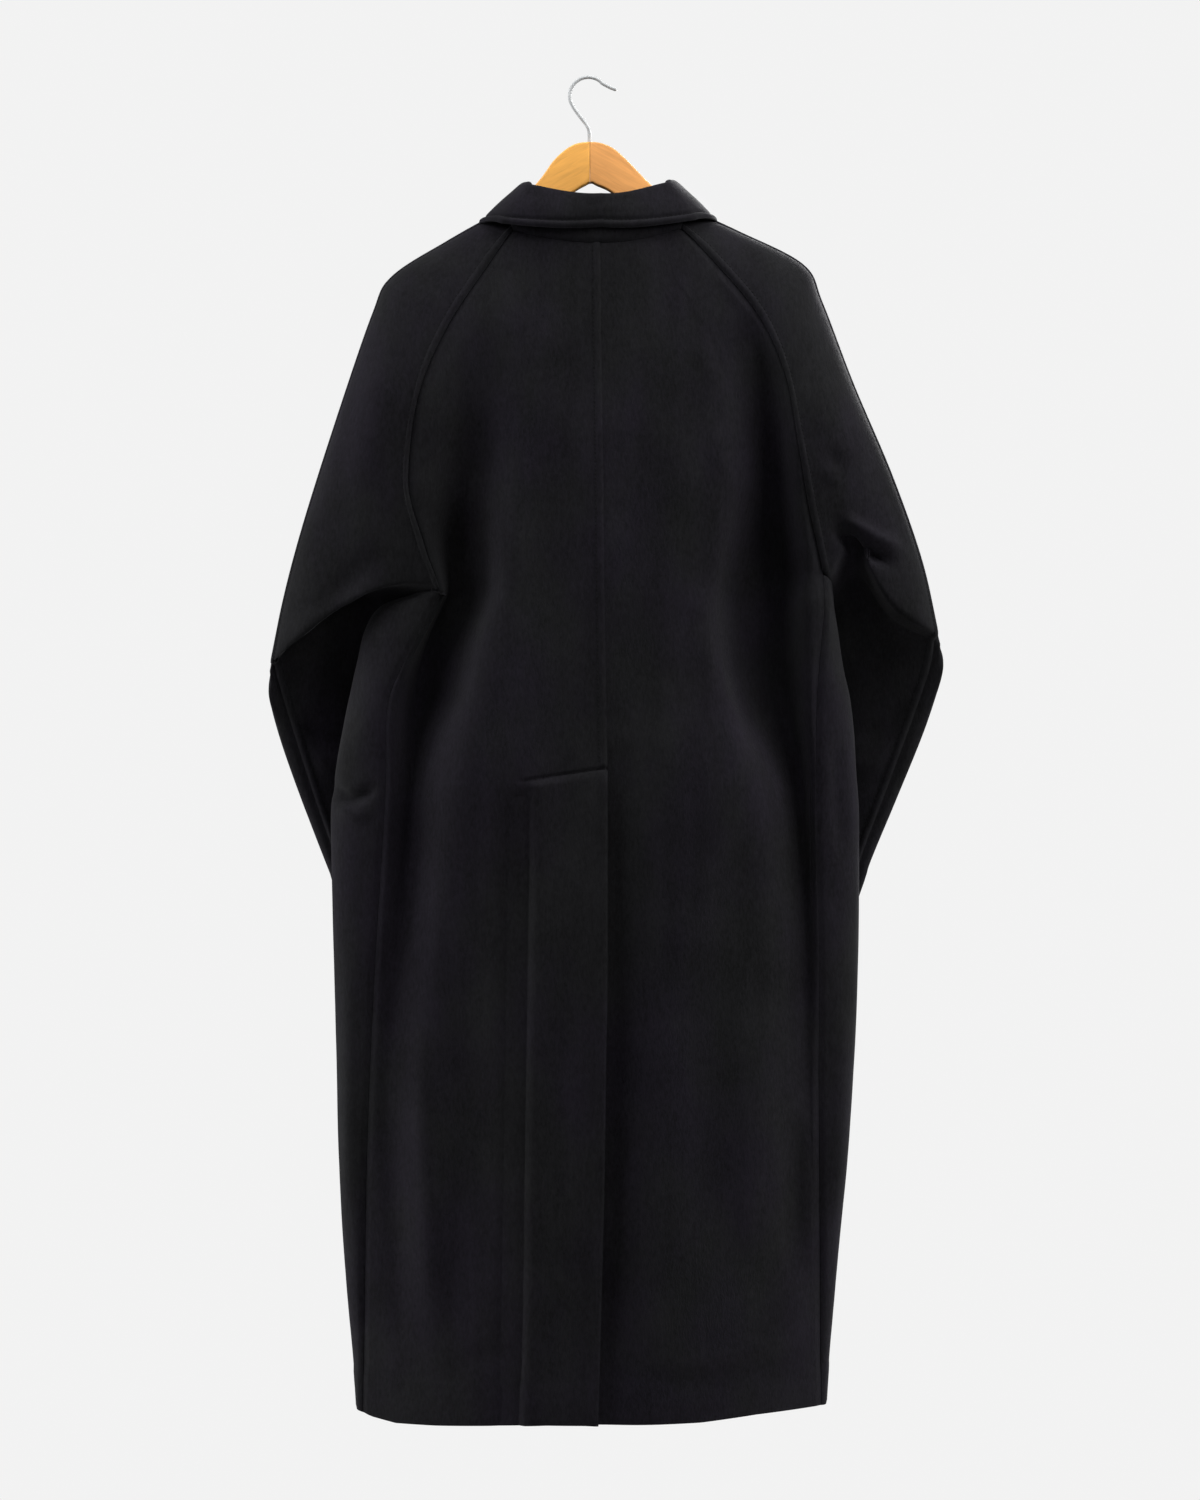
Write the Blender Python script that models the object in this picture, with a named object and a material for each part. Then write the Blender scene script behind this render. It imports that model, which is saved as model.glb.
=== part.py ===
"""Raglan coat hung on a wooden hanger, built from the pieces it is cut and sewn from.

The coat's back faces -Y, the wearer's left is at -X, and the hook bears on its support at the origin.
Tables and sizes are in millimetres, as a pattern is drawn. MM turns them into metres.
"""

import math
from collections import namedtuple

import bmesh
import bpy
import numpy as np

MM = 0.001

# Cloth and seams
WALL = 2.0
SEAM_GAP = 0.3
LAP_STEP = WALL + SEAM_GAP + 0.5
MITRE_LIMIT = 0.5
TIP_EASE = 3.2

# Finishes, their colours in linear red, green and blue
Finish = namedtuple("Finish", "colour roughness metallic")
FINISHES = {
    "wool": Finish((0.011, 0.011, 0.013), 0.92, 0),
    "wood": Finish((0.42, 0.25, 0.10), 0.42, 0),
    "steel": Finish((0.55, 0.55, 0.54), 0.3, 1),
    "button": Finish((0.012, 0.011, 0.011), 0.45, 0),
}

# Shading and rounding of the meshes
SHARP_ANGLE = 45
ROUNDING_STEPS = 2
SAME = 1e-6

LEFT, RIGHT = -1, 1
SIDE_NAMES = {LEFT: "left", RIGHT: "right"}

# Shoulder sections, from the neck seam down to the underarm point. Each holds a point on the back
# raglan seam, on the overarm seam and on the front raglan seam, how far the back half swells, how far
# round the front half starts and swells, and how much the halves arch up between their seams.
ShoulderRow = namedtuple("ShoulderRow", "back_x back_y back_z edge_x edge_z front_x front_y front_z "
                                        "back_swell front_turn front_swell back_arch front_arch")
SHOULDER_ROWS = {
    LEFT: (
        ShoulderRow(-75, -38, -156, -84, -131, -78, 30, -178, 14, 0, 9, 0, 0),
        ShoulderRow(-100, -46, -193, -140, -163, -95, 42, -215, 40, 0, 36, 0, 0),
        ShoulderRow(-139, -54, -254, -196, -199, -128, 48, -262, 54, 0, 48, 0, 0),
        ShoulderRow(-167, -58, -322, -215, -236, -155, 50, -325, 58, 0, 50, 0, 0),
        ShoulderRow(-177, -60, -406, -250, -338, -170, 48, -400, 60, 0, 48, 0, 0),
        ShoulderRow(-162, -56, -468, -284, -445, -170, 36, -466, 56, -15, 40, 3, 0),
        ShoulderRow(-152, -53, -497, -304, -520, -168, 0, -498, 53, -60, 45, 15, 2),
        ShoulderRow(-146, -50, -515, -318, -585, -146, -50, -515, 50, -75, 82, 27, 18),
    ),
    RIGHT: (
        ShoulderRow(92, -38, -154, 98, -130, 93, 30, -177, 14, 0, 9, 0, 0),
        ShoulderRow(121, -46, -185, 150, -154, 112, 42, -212, 40, 0, 36, 0, 0),
        ShoulderRow(166, -54, -240, 214, -187, 150, 48, -256, 54, 0, 48, 0, 0),
        ShoulderRow(193, -58, -299, 233, -225, 182, 50, -316, 58, 0, 50, 0, 0),
        ShoulderRow(206, -60, -367, 264, -306, 206, 48, -380, 60, 0, 48, 0, 0),
        ShoulderRow(217, -54, -430, 303, -398, 222, 36, -442, 54, -15, 40, 3, 0),
        ShoulderRow(226, -47, -470, 333, -484, 236, 0, -481, 47, -60, 40, 22, 2),
        ShoulderRow(232, -42, -497, 350, -556, 232, -42, -497, 42, -75, 74, 48, 14),
    ),
}

# Heights of the same sections on the centre back seam and on the centre front
CENTRE_BACK_HEIGHTS = (-170.6, -206, -262, -322, -396, -452, -484, -506)
CENTRE_FRONT_HEIGHTS = (-232, -258, -300, -352, -414, -462, -490, -508)

# Closed sections of the sleeve below the underarm point: the tuck above the elbow, the elbow, and the
# forearm that passes behind the body down to the cuff.
ForearmRow = namedtuple("ForearmRow", "seam_x seam_y seam_z edge_x edge_y edge_z "
                                      "back_swell front_swell back_arch front_arch")
FOREARM_ROWS = {
    LEFT: (
        ForearmRow(-207, 6, -503, -319, 2, -592, 5, 36, 26, 5),
        ForearmRow(-202, 32, -538, -321, 8, -612, 9, 26, 8, 0),
        ForearmRow(-192, 50, -602, -312, 22, -655, 15, 18, 0, 0),
        ForearmRow(-172, 56, -682, -290, 36, -722, 16, 17, 0, 0),
        ForearmRow(-140, 62, -745, -268, 48, -782, 16, 16, 0, 0),
        ForearmRow(-108, 66, -795, -248, 58, -838, 15, 15, 0, 0),
    ),
    RIGHT: (
        ForearmRow(265, 7, -492, 352, 2, -565, 8, 34, 20, 5),
        ForearmRow(256, 30, -522, 356, 8, -586, 9, 25, 6, 0),
        ForearmRow(236, 50, -588, 342, 22, -640, 15, 18, 0, 0),
        ForearmRow(208, 56, -672, 314, 36, -714, 16, 17, 0, 0),
        ForearmRow(172, 62, -738, 290, 48, -774, 16, 16, 0, 0),
        ForearmRow(136, 66, -790, 270, 58, -832, 15, 15, 0, 0),
    ),
}

# Where an arch peaks across a sleeve half, and how narrow it is
Arch = namedtuple("Arch", "skew sharpness")
ARCHES = {LEFT: Arch(0.75, 1), RIGHT: Arch(0.5, 6)}
FRONT_ARCH = Arch(0.45, 1)
SLEEVE_COLUMNS = 9

# Body edges beside the underarm points, where the fronts leave the armholes
UNDERARM_EDGE = {LEFT: (-176, -6, -515), RIGHT: (243, -6, -505)}

# Sections of the body below the underarms: side seams, and the outer edges round which the fronts turn
BodyRow = namedtuple("BodyRow", "height left_seam left_edge right_seam right_edge seam_y")
BODY_ROWS = (
    BodyRow(-529, -153, -209, 233, 245, -47),
    BodyRow(-554, -166, -224, 231, 249, -47),
    BodyRow(-588, -184, -232, 228, 254, -46),
    BodyRow(-620, -197, -239, 226, 261, -45),
    BodyRow(-655, -200, -246, 225, 265, -45),
    BodyRow(-690, -200, -252, 225, 267, -45),
    BodyRow(-740, -202, -257, 225, 270, -45),
    BodyRow(-800, -206, -256, 226, 270, -44),
    BodyRow(-880, -211, -254, 228, 269, -43),
    BodyRow(-980, -216, -251, 228, 265, -40),
    BodyRow(-1090, -220, -248, 229, 257, -36),
    BodyRow(-1210, -222, -241, 230, 246, -30),
    BodyRow(-1327, -224, -231, 231, 237, -22),
)
EDGE_Y = -8
VENT_TOP_ROW = 5

# Centre back seam and centre front line
CentreRow = namedtuple("CentreRow", "height back_x back_y front_y")
CENTRE_FRONT_X = 8
CENTRE_ROWS = (
    CentreRow(-170, 12, -52, 44),
    CentreRow(-262, 13, -62, 46),
    CentreRow(-400, 15, -72, 46),
    CentreRow(-510, 16, -78, 45),
    CentreRow(-690, 19, -84, 44),
    CentreRow(-880, 19, -92, 43),
    CentreRow(-1090, 16, -98, 42),
    CentreRow(-1327, 10, -100, 40),
)

# Deep folds of the back beside the armholes. The offset is taken from the outer seam to the fold's
# bottom, the reaches run from there to its outer lip and towards the centre back.
FoldRow = namedtuple("FoldRow", "height offset reach_out reach_in depth")
SIDE_FOLDS = {
    LEFT: (
        FoldRow(-262, 60, 45, 60, 0),
        FoldRow(-322, 58, 45, 65, 7),
        FoldRow(-406, 54, 44, 70, 26),
        FoldRow(-468, 30, 28, 75, 34),
        FoldRow(-515, 18, 18, 78, 37),
        FoldRow(-562, 19, 19, 80, 38),
        FoldRow(-620, 30, 28, 80, 34),
        FoldRow(-690, 25, 25, 70, 25),
        FoldRow(-800, 20, 20, 60, 12),
        FoldRow(-940, 20, 20, 60, 0),
    ),
    RIGHT: (
        FoldRow(-262, 26, 26, 60, 0),
        FoldRow(-322, 30, 28, 65, 8),
        FoldRow(-402, 44, 36, 70, 26),
        FoldRow(-484, 60, 40, 75, 35),
        FoldRow(-570, 50, 38, 80, 38),
        FoldRow(-627, 33, 31, 80, 33),
        FoldRow(-700, 20, 20, 70, 23),
        FoldRow(-796, 18, 18, 60, 11),
        FoldRow(-940, 18, 18, 60, 0),
    ),
}
BACK_COLUMNS = (0, 0.22, 0.42, 0.57, 0.67, 0.74, 0.80, 0.86, 0.93, 1)

# Vent: the left back laps over this width of the right back
VENT_UNDERLAP = 82
UNDERLAP_COLUMNS = 3
VENT_EASE = 62
VENT_TOP_SHARE = 0.4

# Front closing: each front reaches past the centre front, the left one on top
FRONT_LAP = 25
LAP_CLEAR = 9
LAP_EASE = 46
FRONT_COLUMNS = (0, 0.05, 0.10, 0.15, 0.21, 0.29, 0.39, 0.51, 0.64, 0.78, 0.90, 1)
LAP_COLUMNS = 2
FRONT_SQUARENESS = 2.4
FRONT_LINE_STEPS = 40

# Bend of a front beside its armhole: its share of the way to the centre front, and its rise over that
ARMHOLE_BEND = 0.12
ARMHOLE_RISE = 2.0

# Collar at five stations of a half neck: how far the stand rises from the neck seam, and where the
# fall's edge lies from the top of the stand.
CollarRow = namedtuple("CollarRow", "rise_x rise_y rise_z edge_x edge_y edge_z")
COLLAR_STATIONS = {
    LEFT: (
        CollarRow(0, 0, 48, 0, -16, -38),
        CollarRow(19, 4, 46, -32, -26, -42),
        CollarRow(21, 0, 26, -48, 0, -35),
        CollarRow(19, 2, 40, -42, 34, -52),
        CollarRow(0, 2, 32, -54, 14, -80),
    ),
    RIGHT: (
        CollarRow(0, 0, 48, 0, -16, -38),
        CollarRow(-16, 4, 46, 30, -26, -42),
        CollarRow(-14, 0, 27, 42, 0, -34),
        CollarRow(-16, 2, 40, 38, 34, -52),
        CollarRow(0, 2, 32, 54, 14, -80),
    ),
}
STAND_ROWS = 3
FALL_SEAT = 1.2
FOLD_HEIGHT = 6.0
FOLD_REACH = 9.0
FALL_PROFILE = ((0, 0), (0, 0.4), (0.4, 1.0), (0.85, 0.75), (1.0, 0.0))
FALL_ROWS = 3

# Buttons of the closing
BUTTON_HEIGHTS = (-330, -450, -570, -690)
BUTTON_DIAMETER = 27
BUTTON_THICKNESS = 4.5
BUTTON_RIM = 1.2
ROUND_SIDES = 32

# Hanger outline, top and bottom edge from the left end to the right one
OutlinePoint = namedtuple("OutlinePoint", "x z")
HANGER_TOP = tuple(OutlinePoint(*point) for point in (
    (-194, -207), (-186, -197.5), (-140, -167), (-86, -141), (-51, -104.5), (-30, -78), (-13, -66.5),
    (0, -63.7), (14, -66), (34, -78), (61, -105), (100, -140), (150, -158.5), (203, -186), (212, -196),
))
HANGER_BOTTOM = tuple(OutlinePoint(*point) for point in (
    (211, -210), (203, -209), (150, -186), (98, -162), (45, -132), (2.5, -104.5),
    (-40, -131), (-84, -161), (-140, -194), (-184, -219), (-193, -219),
))
HANGER_THICKNESS = 12
HANGER_ROUNDING = 2.5

# Hook, along the middle of its wire from inside the hanger to the free tip
WIRE_DIAMETER = 3.6
WIRE_STEPS = 3
HOOK_RADIUS = 18.8
HOOK_CENTRE = OutlinePoint(0, 1.8 - HOOK_RADIUS)
HOOK_STEM = tuple(OutlinePoint(*point) for point in (
    (0.9, -88), (0.9, -70), (0.9, -56), (-1.2, -47.5), (-8.6, -37.5), (-15.4, -28),
))
HOOK_TIP = tuple(OutlinePoint(*point) for point in ((21, -8.2), (26.5, -10.4)))
HOOK_ARC_FROM, HOOK_ARC_TO, HOOK_ARC_STEPS = 190, 42, 14
SOCKET_DEPTH = 26


def material(name):
    """Principled material of one finish."""
    finish = FINISHES[name]
    made = bpy.data.materials.new(name)
    made.use_nodes = True
    shader = made.node_tree.nodes["Principled BSDF"]
    shader.inputs["Base Color"].default_value = (*finish.colour, 1.0)
    shader.inputs["Roughness"].default_value = finish.roughness
    shader.inputs["Metallic"].default_value = finish.metallic
    made.diffuse_color = (*finish.colour, 1.0)
    return made


def place(name, data, finish):
    """Put a mesh or a curve into the scene as a named piece."""
    piece = bpy.data.objects.new(name, data)
    data.materials.append(finish)
    bpy.context.scene.collection.objects.link(piece)
    return piece


def finished_mesh(name, work):
    """Mesh of a finished bmesh, smooth but for its sharp edges."""
    mesh = bpy.data.meshes.new(name)
    work.to_mesh(mesh)
    work.free()
    mesh.shade_smooth()
    mesh.set_sharp_from_angle(angle=math.radians(SHARP_ANGLE))
    return mesh


def cylinder(diameter, height):
    """Round bar along Z about the origin."""
    work = bmesh.new()
    bmesh.ops.create_cone(work, cap_ends=True, segments=ROUND_SIDES, depth=height * MM,
                          radius1=diameter / 2 * MM, radius2=diameter / 2 * MM)
    return work


def round_rims(work, axis, size):
    """Round off the edges that lie flat across an axis."""
    rims = [edge for edge in work.edges if abs(edge.verts[0].co[axis] - edge.verts[1].co[axis]) < SAME]
    bmesh.ops.bevel(work, geom=rims, offset=size * MM, segments=ROUNDING_STEPS, affect="EDGES", profile=0.5)


def unit(vectors):
    """Vectors brought to length one."""
    length = np.linalg.norm(vectors, axis=-1, keepdims=True)
    return vectors / np.maximum(length, SAME)


def smooth_step(value):
    """Ease from 0 to 1, flat outside that range."""
    eased = np.clip(value, 0.0, 1.0)
    return eased * eased * (3.0 - 2.0 * eased)


def along(table, column, height):
    """Value of a table's column at a height, between its rows."""
    heights = [row.height for row in reversed(table)]
    values = [getattr(row, column) for row in reversed(table)]
    return np.interp(height, heights, values)


def spread(points, fractions):
    """Points at the given fractions of a polyline's length."""
    steps = np.linalg.norm(np.diff(points, axis=0), axis=1)
    length = np.concatenate([[0.0], np.cumsum(steps)])
    wanted = np.asarray(fractions) * length[-1]
    return np.stack([np.interp(wanted, length, points[:, axis]) for axis in range(3)], axis=1)


def body_sections(side):
    """Outer back seam, outer front seam and front edge of each body section, neck to hem."""
    sections = []
    for row in SHOULDER_ROWS[side][:-1]:
        back = (row.back_x, row.back_y, row.back_z)
        front = (row.front_x, row.front_y, row.front_z)
        sections.append((back, front, front))
    tip = SHOULDER_ROWS[side][-1]
    underarm = (tip.back_x, tip.back_y, tip.back_z)
    sections.append((underarm, underarm, UNDERARM_EDGE[side]))
    for row in BODY_ROWS:
        name = SIDE_NAMES[side]
        seam = (getattr(row, name + "_seam"), row.seam_y, row.height)
        edge = (getattr(row, name + "_edge"), EDGE_Y, row.height)
        sections.append((seam, seam, edge))
    return sections


def side_fold(side, height, inset):
    """Depth of the deep side fold at a distance inside the outer seam."""
    table = SIDE_FOLDS[side]
    past = inset - along(table, "offset", height)
    reach = np.where(past < 0, along(table, "reach_out", height), along(table, "reach_in", height))
    wave = 0.5 + 0.5 * np.cos(np.pi * np.clip(past / reach, -1.0, 1.0))
    return along(table, "depth", height) * wave


def back_grid(side):
    """Outer points of a back panel, a row for each section, columns from the centre back out."""
    heights = CENTRE_BACK_HEIGHTS + tuple(row.height for row in BODY_ROWS)
    across = np.array(BACK_COLUMNS)
    grid = []
    for centre_height, (seam, _, _) in zip(heights, body_sections(side)):
        centre_x = along(CENTRE_ROWS, "back_x", centre_height)
        centre_y = along(CENTRE_ROWS, "back_y", centre_height)
        x = centre_x + (seam[0] - centre_x) * across
        y = centre_y + (seam[1] - centre_y) * across ** 2
        z = centre_height + (seam[2] - centre_height) * across ** 2
        y = y + side_fold(side, seam[2], np.abs(seam[0] - x))
        grid.append(np.stack([x, y, z], axis=1))
    return np.array(grid)


def add_underlap(right, left):
    """Right back with the vent's underlap added before its first column, under the left back."""
    first = len(CENTRE_BACK_HEIGHTS) + VENT_TOP_ROW
    lowered = right.copy()
    for index in range(first - 1, len(right)):
        ease = 1.0 - smooth_step((right[index, :, 0] - right[index, 0, 0]) / VENT_EASE)
        share = 1.0 if index >= first else VENT_TOP_SHARE
        lowered[index, :, 1] += share * LAP_STEP * ease
    underlap = np.repeat(lowered[:, :1], UNDERLAP_COLUMNS, axis=1)
    for index in range(len(right)):
        reach = np.linspace(VENT_UNDERLAP, 0, UNDERLAP_COLUMNS, endpoint=False)
        under = left[index, ::-1]
        underlap[index, :, 0] -= reach
        underlap[index, :, 1] = LAP_STEP + np.interp(underlap[index, :, 0], under[:, 0], under[:, 1])
        underlap[index, :, 2] = np.interp(underlap[index, :, 0], under[:, 0], under[:, 2])
    grid = np.concatenate([underlap, lowered], axis=1)
    cells = np.ones((grid.shape[0] - 1, grid.shape[1] - 1), dtype=bool)
    cells[:first, :UNDERLAP_COLUMNS] = False
    return grid, cells


def front_row(seam, edge, centre):
    """Line of a front panel from its outer seam round the body's edge to the centre front."""
    seam, edge, centre = (np.array(point, dtype=float) for point in (seam, edge, centre))
    turn = np.linspace(0.0, math.pi / 2, FRONT_LINE_STEPS)[:, None]
    line = []
    if not np.allclose(seam, edge):
        outward = seam + (edge - seam) * np.array([1, 0, 1]) * np.sin(turn)
        line.append(outward + (edge - seam) * np.array([0, 1, 0]) * (1.0 - np.cos(turn)))
        power = 2.0 / FRONT_SQUARENESS
        inward = edge + (centre - edge) * np.array([1, 0, 1]) * (1.0 - np.cos(turn) ** power)
        line.append(inward + (centre - edge) * np.array([0, 1, 0]) * np.sin(turn) ** power)
    else:
        share = np.sin(turn) ** 2
        bend_x = edge[0] + ARMHOLE_BEND * (centre[0] - edge[0])
        bend = np.array([bend_x, centre[1] + ARMHOLE_RISE, edge[2]])
        line.append((1 - share) ** 2 * edge + 2 * share * (1 - share) * bend + share ** 2 * centre)
    return np.concatenate(line)


def front_grid(side):
    """Outer points of a front panel, columns from its outer seam to past the centre front."""
    heights = CENTRE_FRONT_HEIGHTS + tuple(row.height for row in BODY_ROWS)
    grid = []
    for height, (_, seam, edge) in zip(heights, body_sections(side)):
        centre = (CENTRE_FRONT_X, along(CENTRE_ROWS, "front_y", height), height)
        row = spread(front_row(seam, edge, centre), FRONT_COLUMNS)
        lap = np.repeat(row[-1:], LAP_COLUMNS, axis=0)
        lap[:, 0] -= side * FRONT_LAP * np.arange(1, LAP_COLUMNS + 1) / LAP_COLUMNS
        row = np.concatenate([row, lap])
        if side == LEFT:
            start = CENTRE_FRONT_X - FRONT_LAP - LAP_CLEAR - LAP_EASE
            row[:, 1] += LAP_STEP * smooth_step((row[:, 0] - start) / LAP_EASE)
        grid.append(row)
    return np.array(grid)


def sleeve_line(inner, edge, turn, swell, arch, shape):
    """Line across a sleeve half from its inner seam to the overarm seam."""
    inner, edge = np.array(inner, dtype=float), np.array(edge, dtype=float)
    start = math.radians(turn)
    angle = np.linspace(start, math.pi / 2, SLEEVE_COLUMNS)
    share = (np.sin(angle) - math.sin(start)) / (1.0 - math.sin(start))
    share = np.clip(share, 0.0, 1.0)
    line = inner + (edge - inner) * share[:, None]
    line[:, 1] += swell * (np.cos(angle) - math.cos(start) * (1.0 - share))
    line[:, 2] += arch * np.abs(np.sin(math.pi * share ** shape.skew)) ** shape.sharpness
    return line


def sleeve_grids(side):
    """Outer points of the back and front half of a sleeve, neck to cuff."""
    shape, plain = ARCHES[side], FRONT_ARCH
    back, front = [], []
    for row in SHOULDER_ROWS[side]:
        edge = (row.edge_x, 0, row.edge_z)
        back_seam = (row.back_x, row.back_y, row.back_z)
        front_seam = (row.front_x, row.front_y, row.front_z)
        back.append(sleeve_line(back_seam, edge, 0, -row.back_swell, row.back_arch, shape))
        front.append(sleeve_line(front_seam, edge, row.front_turn, row.front_swell, row.front_arch, plain))
    for row in FOREARM_ROWS[side]:
        seam = (row.seam_x, row.seam_y, row.seam_z)
        edge = (row.edge_x, row.edge_y, row.edge_z)
        back.append(sleeve_line(seam, edge, -90, -row.back_swell, row.back_arch, shape))
        front.append(sleeve_line(seam, edge, -90, row.front_swell, row.front_arch, plain))
    return np.array(back), np.array(front)


def half_neck(side, grids):
    """Neck edge of one half from centre back to centre front, with each point's collar station."""
    name = SIDE_NAMES[side]
    stretches = (
        grids["back_" + name][0, UNDERLAP_COLUMNS:] if side == RIGHT else grids["back_" + name][0],
        grids[f"sleeve_{name}_back"][0],
        grids[f"sleeve_{name}_front"][0, ::-1],
        grids["front_" + name][0, :-LAP_COLUMNS],
    )
    points, stations = [], []
    for index, stretch in enumerate(stretches):
        steps = np.linalg.norm(np.diff(stretch, axis=0), axis=1)
        share = np.concatenate([[0.0], np.cumsum(steps)]) / np.sum(steps)
        keep = slice(0, None) if index == len(stretches) - 1 else slice(0, -1)
        points.append(stretch[keep])
        stations.append(index + share[keep])
    return np.concatenate(points), np.concatenate(stations)


def collar_grids(grids):
    """Outer points of the stand and the fall, from the left front end round the neck to the right."""
    necks, tops, edges = [], [], []
    for side in (LEFT, RIGHT):
        neck, station = half_neck(side, grids)
        table = np.array(COLLAR_STATIONS[side], dtype=float)
        offsets = np.stack([np.interp(station, range(len(table)), column) for column in table.T], axis=1)
        top = neck + offsets[:, :3]
        order = slice(None, None, -1) if side == LEFT else slice(1, None)
        necks.append(neck[order])
        tops.append(top[order])
        edges.append((top + offsets[:, 3:])[order])
    neck, top, edge = (np.concatenate(parts) for parts in (necks, tops, edges))
    lift = np.array([0.0, 0.0, SEAM_GAP])
    share = np.linspace(0.0, 1.0, STAND_ROWS)[:, None, None]
    stand = neck + lift + (top - neck - lift) * share
    outward = vertex_normals(stand, 1)[-1]
    outward[:, 2] = 0.0
    outward = unit(outward)
    inside = top - WALL * outward + np.array([0.0, 0.0, FALL_SEAT])
    fall = []
    for out, up in FALL_PROFILE:
        fall.append(inside + FOLD_REACH * out * outward + np.array([0.0, 0.0, FOLD_HEIGHT * up]))
    bend = fall[-1]
    for row in range(1, FALL_ROWS + 1):
        fall.append(bend + (edge - bend) * row / FALL_ROWS)
    return stand, np.array(fall)


def vertex_normals(grid, turn, cells=None):
    """Area-weighted normals of a grid's points, on the cloth's outer side."""
    across = grid[1:, 1:] - grid[:-1, :-1]
    other = grid[1:, :-1] - grid[:-1, 1:]
    faces = turn * np.cross(across, other)
    if cells is not None:
        faces = faces * cells[:, :, None]
    normals = np.zeros_like(grid)
    for down in (0, 1):
        for right in (0, 1):
            rows = slice(down, grid.shape[0] - 1 + down)
            columns = slice(right, grid.shape[1] - 1 + right)
            normals[rows, columns] += faces
    return normals


def sewn_normals(grids, turns):
    """Unit normals of each panel, shared where the points of two panels meet at a seam."""
    own = {name: vertex_normals(grid, turns[name]) for name, grid in grids.items()}
    shared = {}
    for name, grid in grids.items():
        for point, normal in zip(grid.reshape(-1, 3), own[name].reshape(-1, 3)):
            key = tuple(np.round(point, 3))
            shared[key] = shared.get(key, 0.0) + normal
    sewn = {}
    for name, grid in grids.items():
        rows = [shared[tuple(np.round(point, 3))] for point in grid.reshape(-1, 3)]
        sewn[name] = unit(np.array(rows).reshape(grid.shape))
    return sewn


def pulled_in(grid, distance):
    """Grid with its four edges drawn in, which leaves the gap at the seams."""
    drawn = grid.copy()
    for edge, inner in ((0, 1), (-1, -2)):
        drawn[edge] += distance * unit(grid[inner] - grid[edge])
        drawn[:, edge] += distance * unit(grid[:, inner] - grid[:, edge])
    return drawn


def cloth(name, grid, normals, turn, finish, cells=None, tip=None):
    """Closed wall of cloth on a grid of outer points, with an underarm tip eased from its neighbours."""
    own = unit(vertex_normals(grid, turn, cells))
    mitre = np.clip(np.sum(own * normals, axis=2), MITRE_LIMIT, 1.0)[:, :, None]
    outer = pulled_in(grid, SEAM_GAP / 2)
    if tip is not None:
        outer[tip, 0] += TIP_EASE * unit(grid[tip, 1] - grid[tip, 0])
    inner = outer - WALL * normals / mitre
    if cells is None:
        cells = np.ones((grid.shape[0] - 1, grid.shape[1] - 1), dtype=bool)
    shell = bmesh.new()
    made = {}

    def corner(layer, row, column):
        key = (layer, row, column)
        if key not in made:
            point = (outer, inner)[layer][row, column]
            made[key] = shell.verts.new(point * MM)
        return made[key]

    def triangles(corners):
        first, second, third, fourth = corners
        shell.faces.new((first, second, third))
        shell.faces.new((first, third, fourth))

    for row, column in zip(*np.nonzero(cells)):
        ring = ((row, column), (row, column + 1), (row + 1, column + 1), (row + 1, column))
        for layer in (0, 1):
            triangles([corner(layer, *spot) for spot in ring])
        beyond = ((row - 1, column), (row, column + 1), (row + 1, column), (row, column - 1))
        for index, (across, down) in enumerate(beyond):
            inside = 0 <= across < cells.shape[0] and 0 <= down < cells.shape[1]
            if inside and cells[across, down]:
                continue
            start, end = ring[index], ring[(index + 1) % 4]
            triangles((corner(0, *start), corner(0, *end), corner(1, *end), corner(1, *start)))
    bmesh.ops.recalc_face_normals(shell, faces=shell.faces)
    place(name, finished_mesh(name, shell), finish)


def build_cloth():
    """Sewn panels, sleeves and collar. Returns the left front's outer points for its buttons."""
    wool = material("wool")
    grids, turns = {}, {}
    for side in (LEFT, RIGHT):
        name = SIDE_NAMES[side]
        back, front = sleeve_grids(side)
        grids["back_" + name] = back_grid(side)
        grids["front_" + name] = front_grid(side)
        grids[f"sleeve_{name}_back"] = back
        grids[f"sleeve_{name}_front"] = front
        turns["back_" + name] = -side
        turns["front_" + name] = -side
        turns[f"sleeve_{name}_back"] = -side
        turns[f"sleeve_{name}_front"] = side
    normals = sewn_normals(grids, turns)
    vented, cells = add_underlap(grids["back_right"], grids["back_left"])
    under = unit(vertex_normals(vented, turns["back_right"], cells))
    under[:, UNDERLAP_COLUMNS + 1:] = normals["back_right"][:, 1:]
    grids["back_right"], normals["back_right"] = vented, under
    for name, grid in grids.items():
        mask = cells if name == "back_right" else None
        tip = len(SHOULDER_ROWS[LEFT]) - 1 if name.startswith("sleeve") else None
        cloth(name, grid, normals[name], turns[name], wool, mask, tip)
    stand, fall = collar_grids(grids)
    for name, grid, turn in (("collar_stand", stand, 1), ("collar_fall", fall, -1)):
        cloth(name, grid, unit(vertex_normals(grid, turn)), turn, wool)
    return grids["front_left"]


def build_buttons(front):
    """Round buttons lying on the left front along the centre front."""
    horn = material("button")
    level = front[:, -LAP_COLUMNS - 1]
    for number, height in enumerate(BUTTON_HEIGHTS, start=1):
        name = f"button_{number}"
        disc = cylinder(BUTTON_DIAMETER, BUTTON_THICKNESS)
        round_rims(disc, 2, BUTTON_RIM)
        button = place(name, finished_mesh(name, disc), horn)
        face = np.interp(-height, -level[:, 2], level[:, 1]) + SEAM_GAP + BUTTON_THICKNESS / 2
        button.rotation_euler = (math.radians(90), 0, 0)
        button.location = (CENTRE_FRONT_X * MM, face * MM, height * MM)


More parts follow.
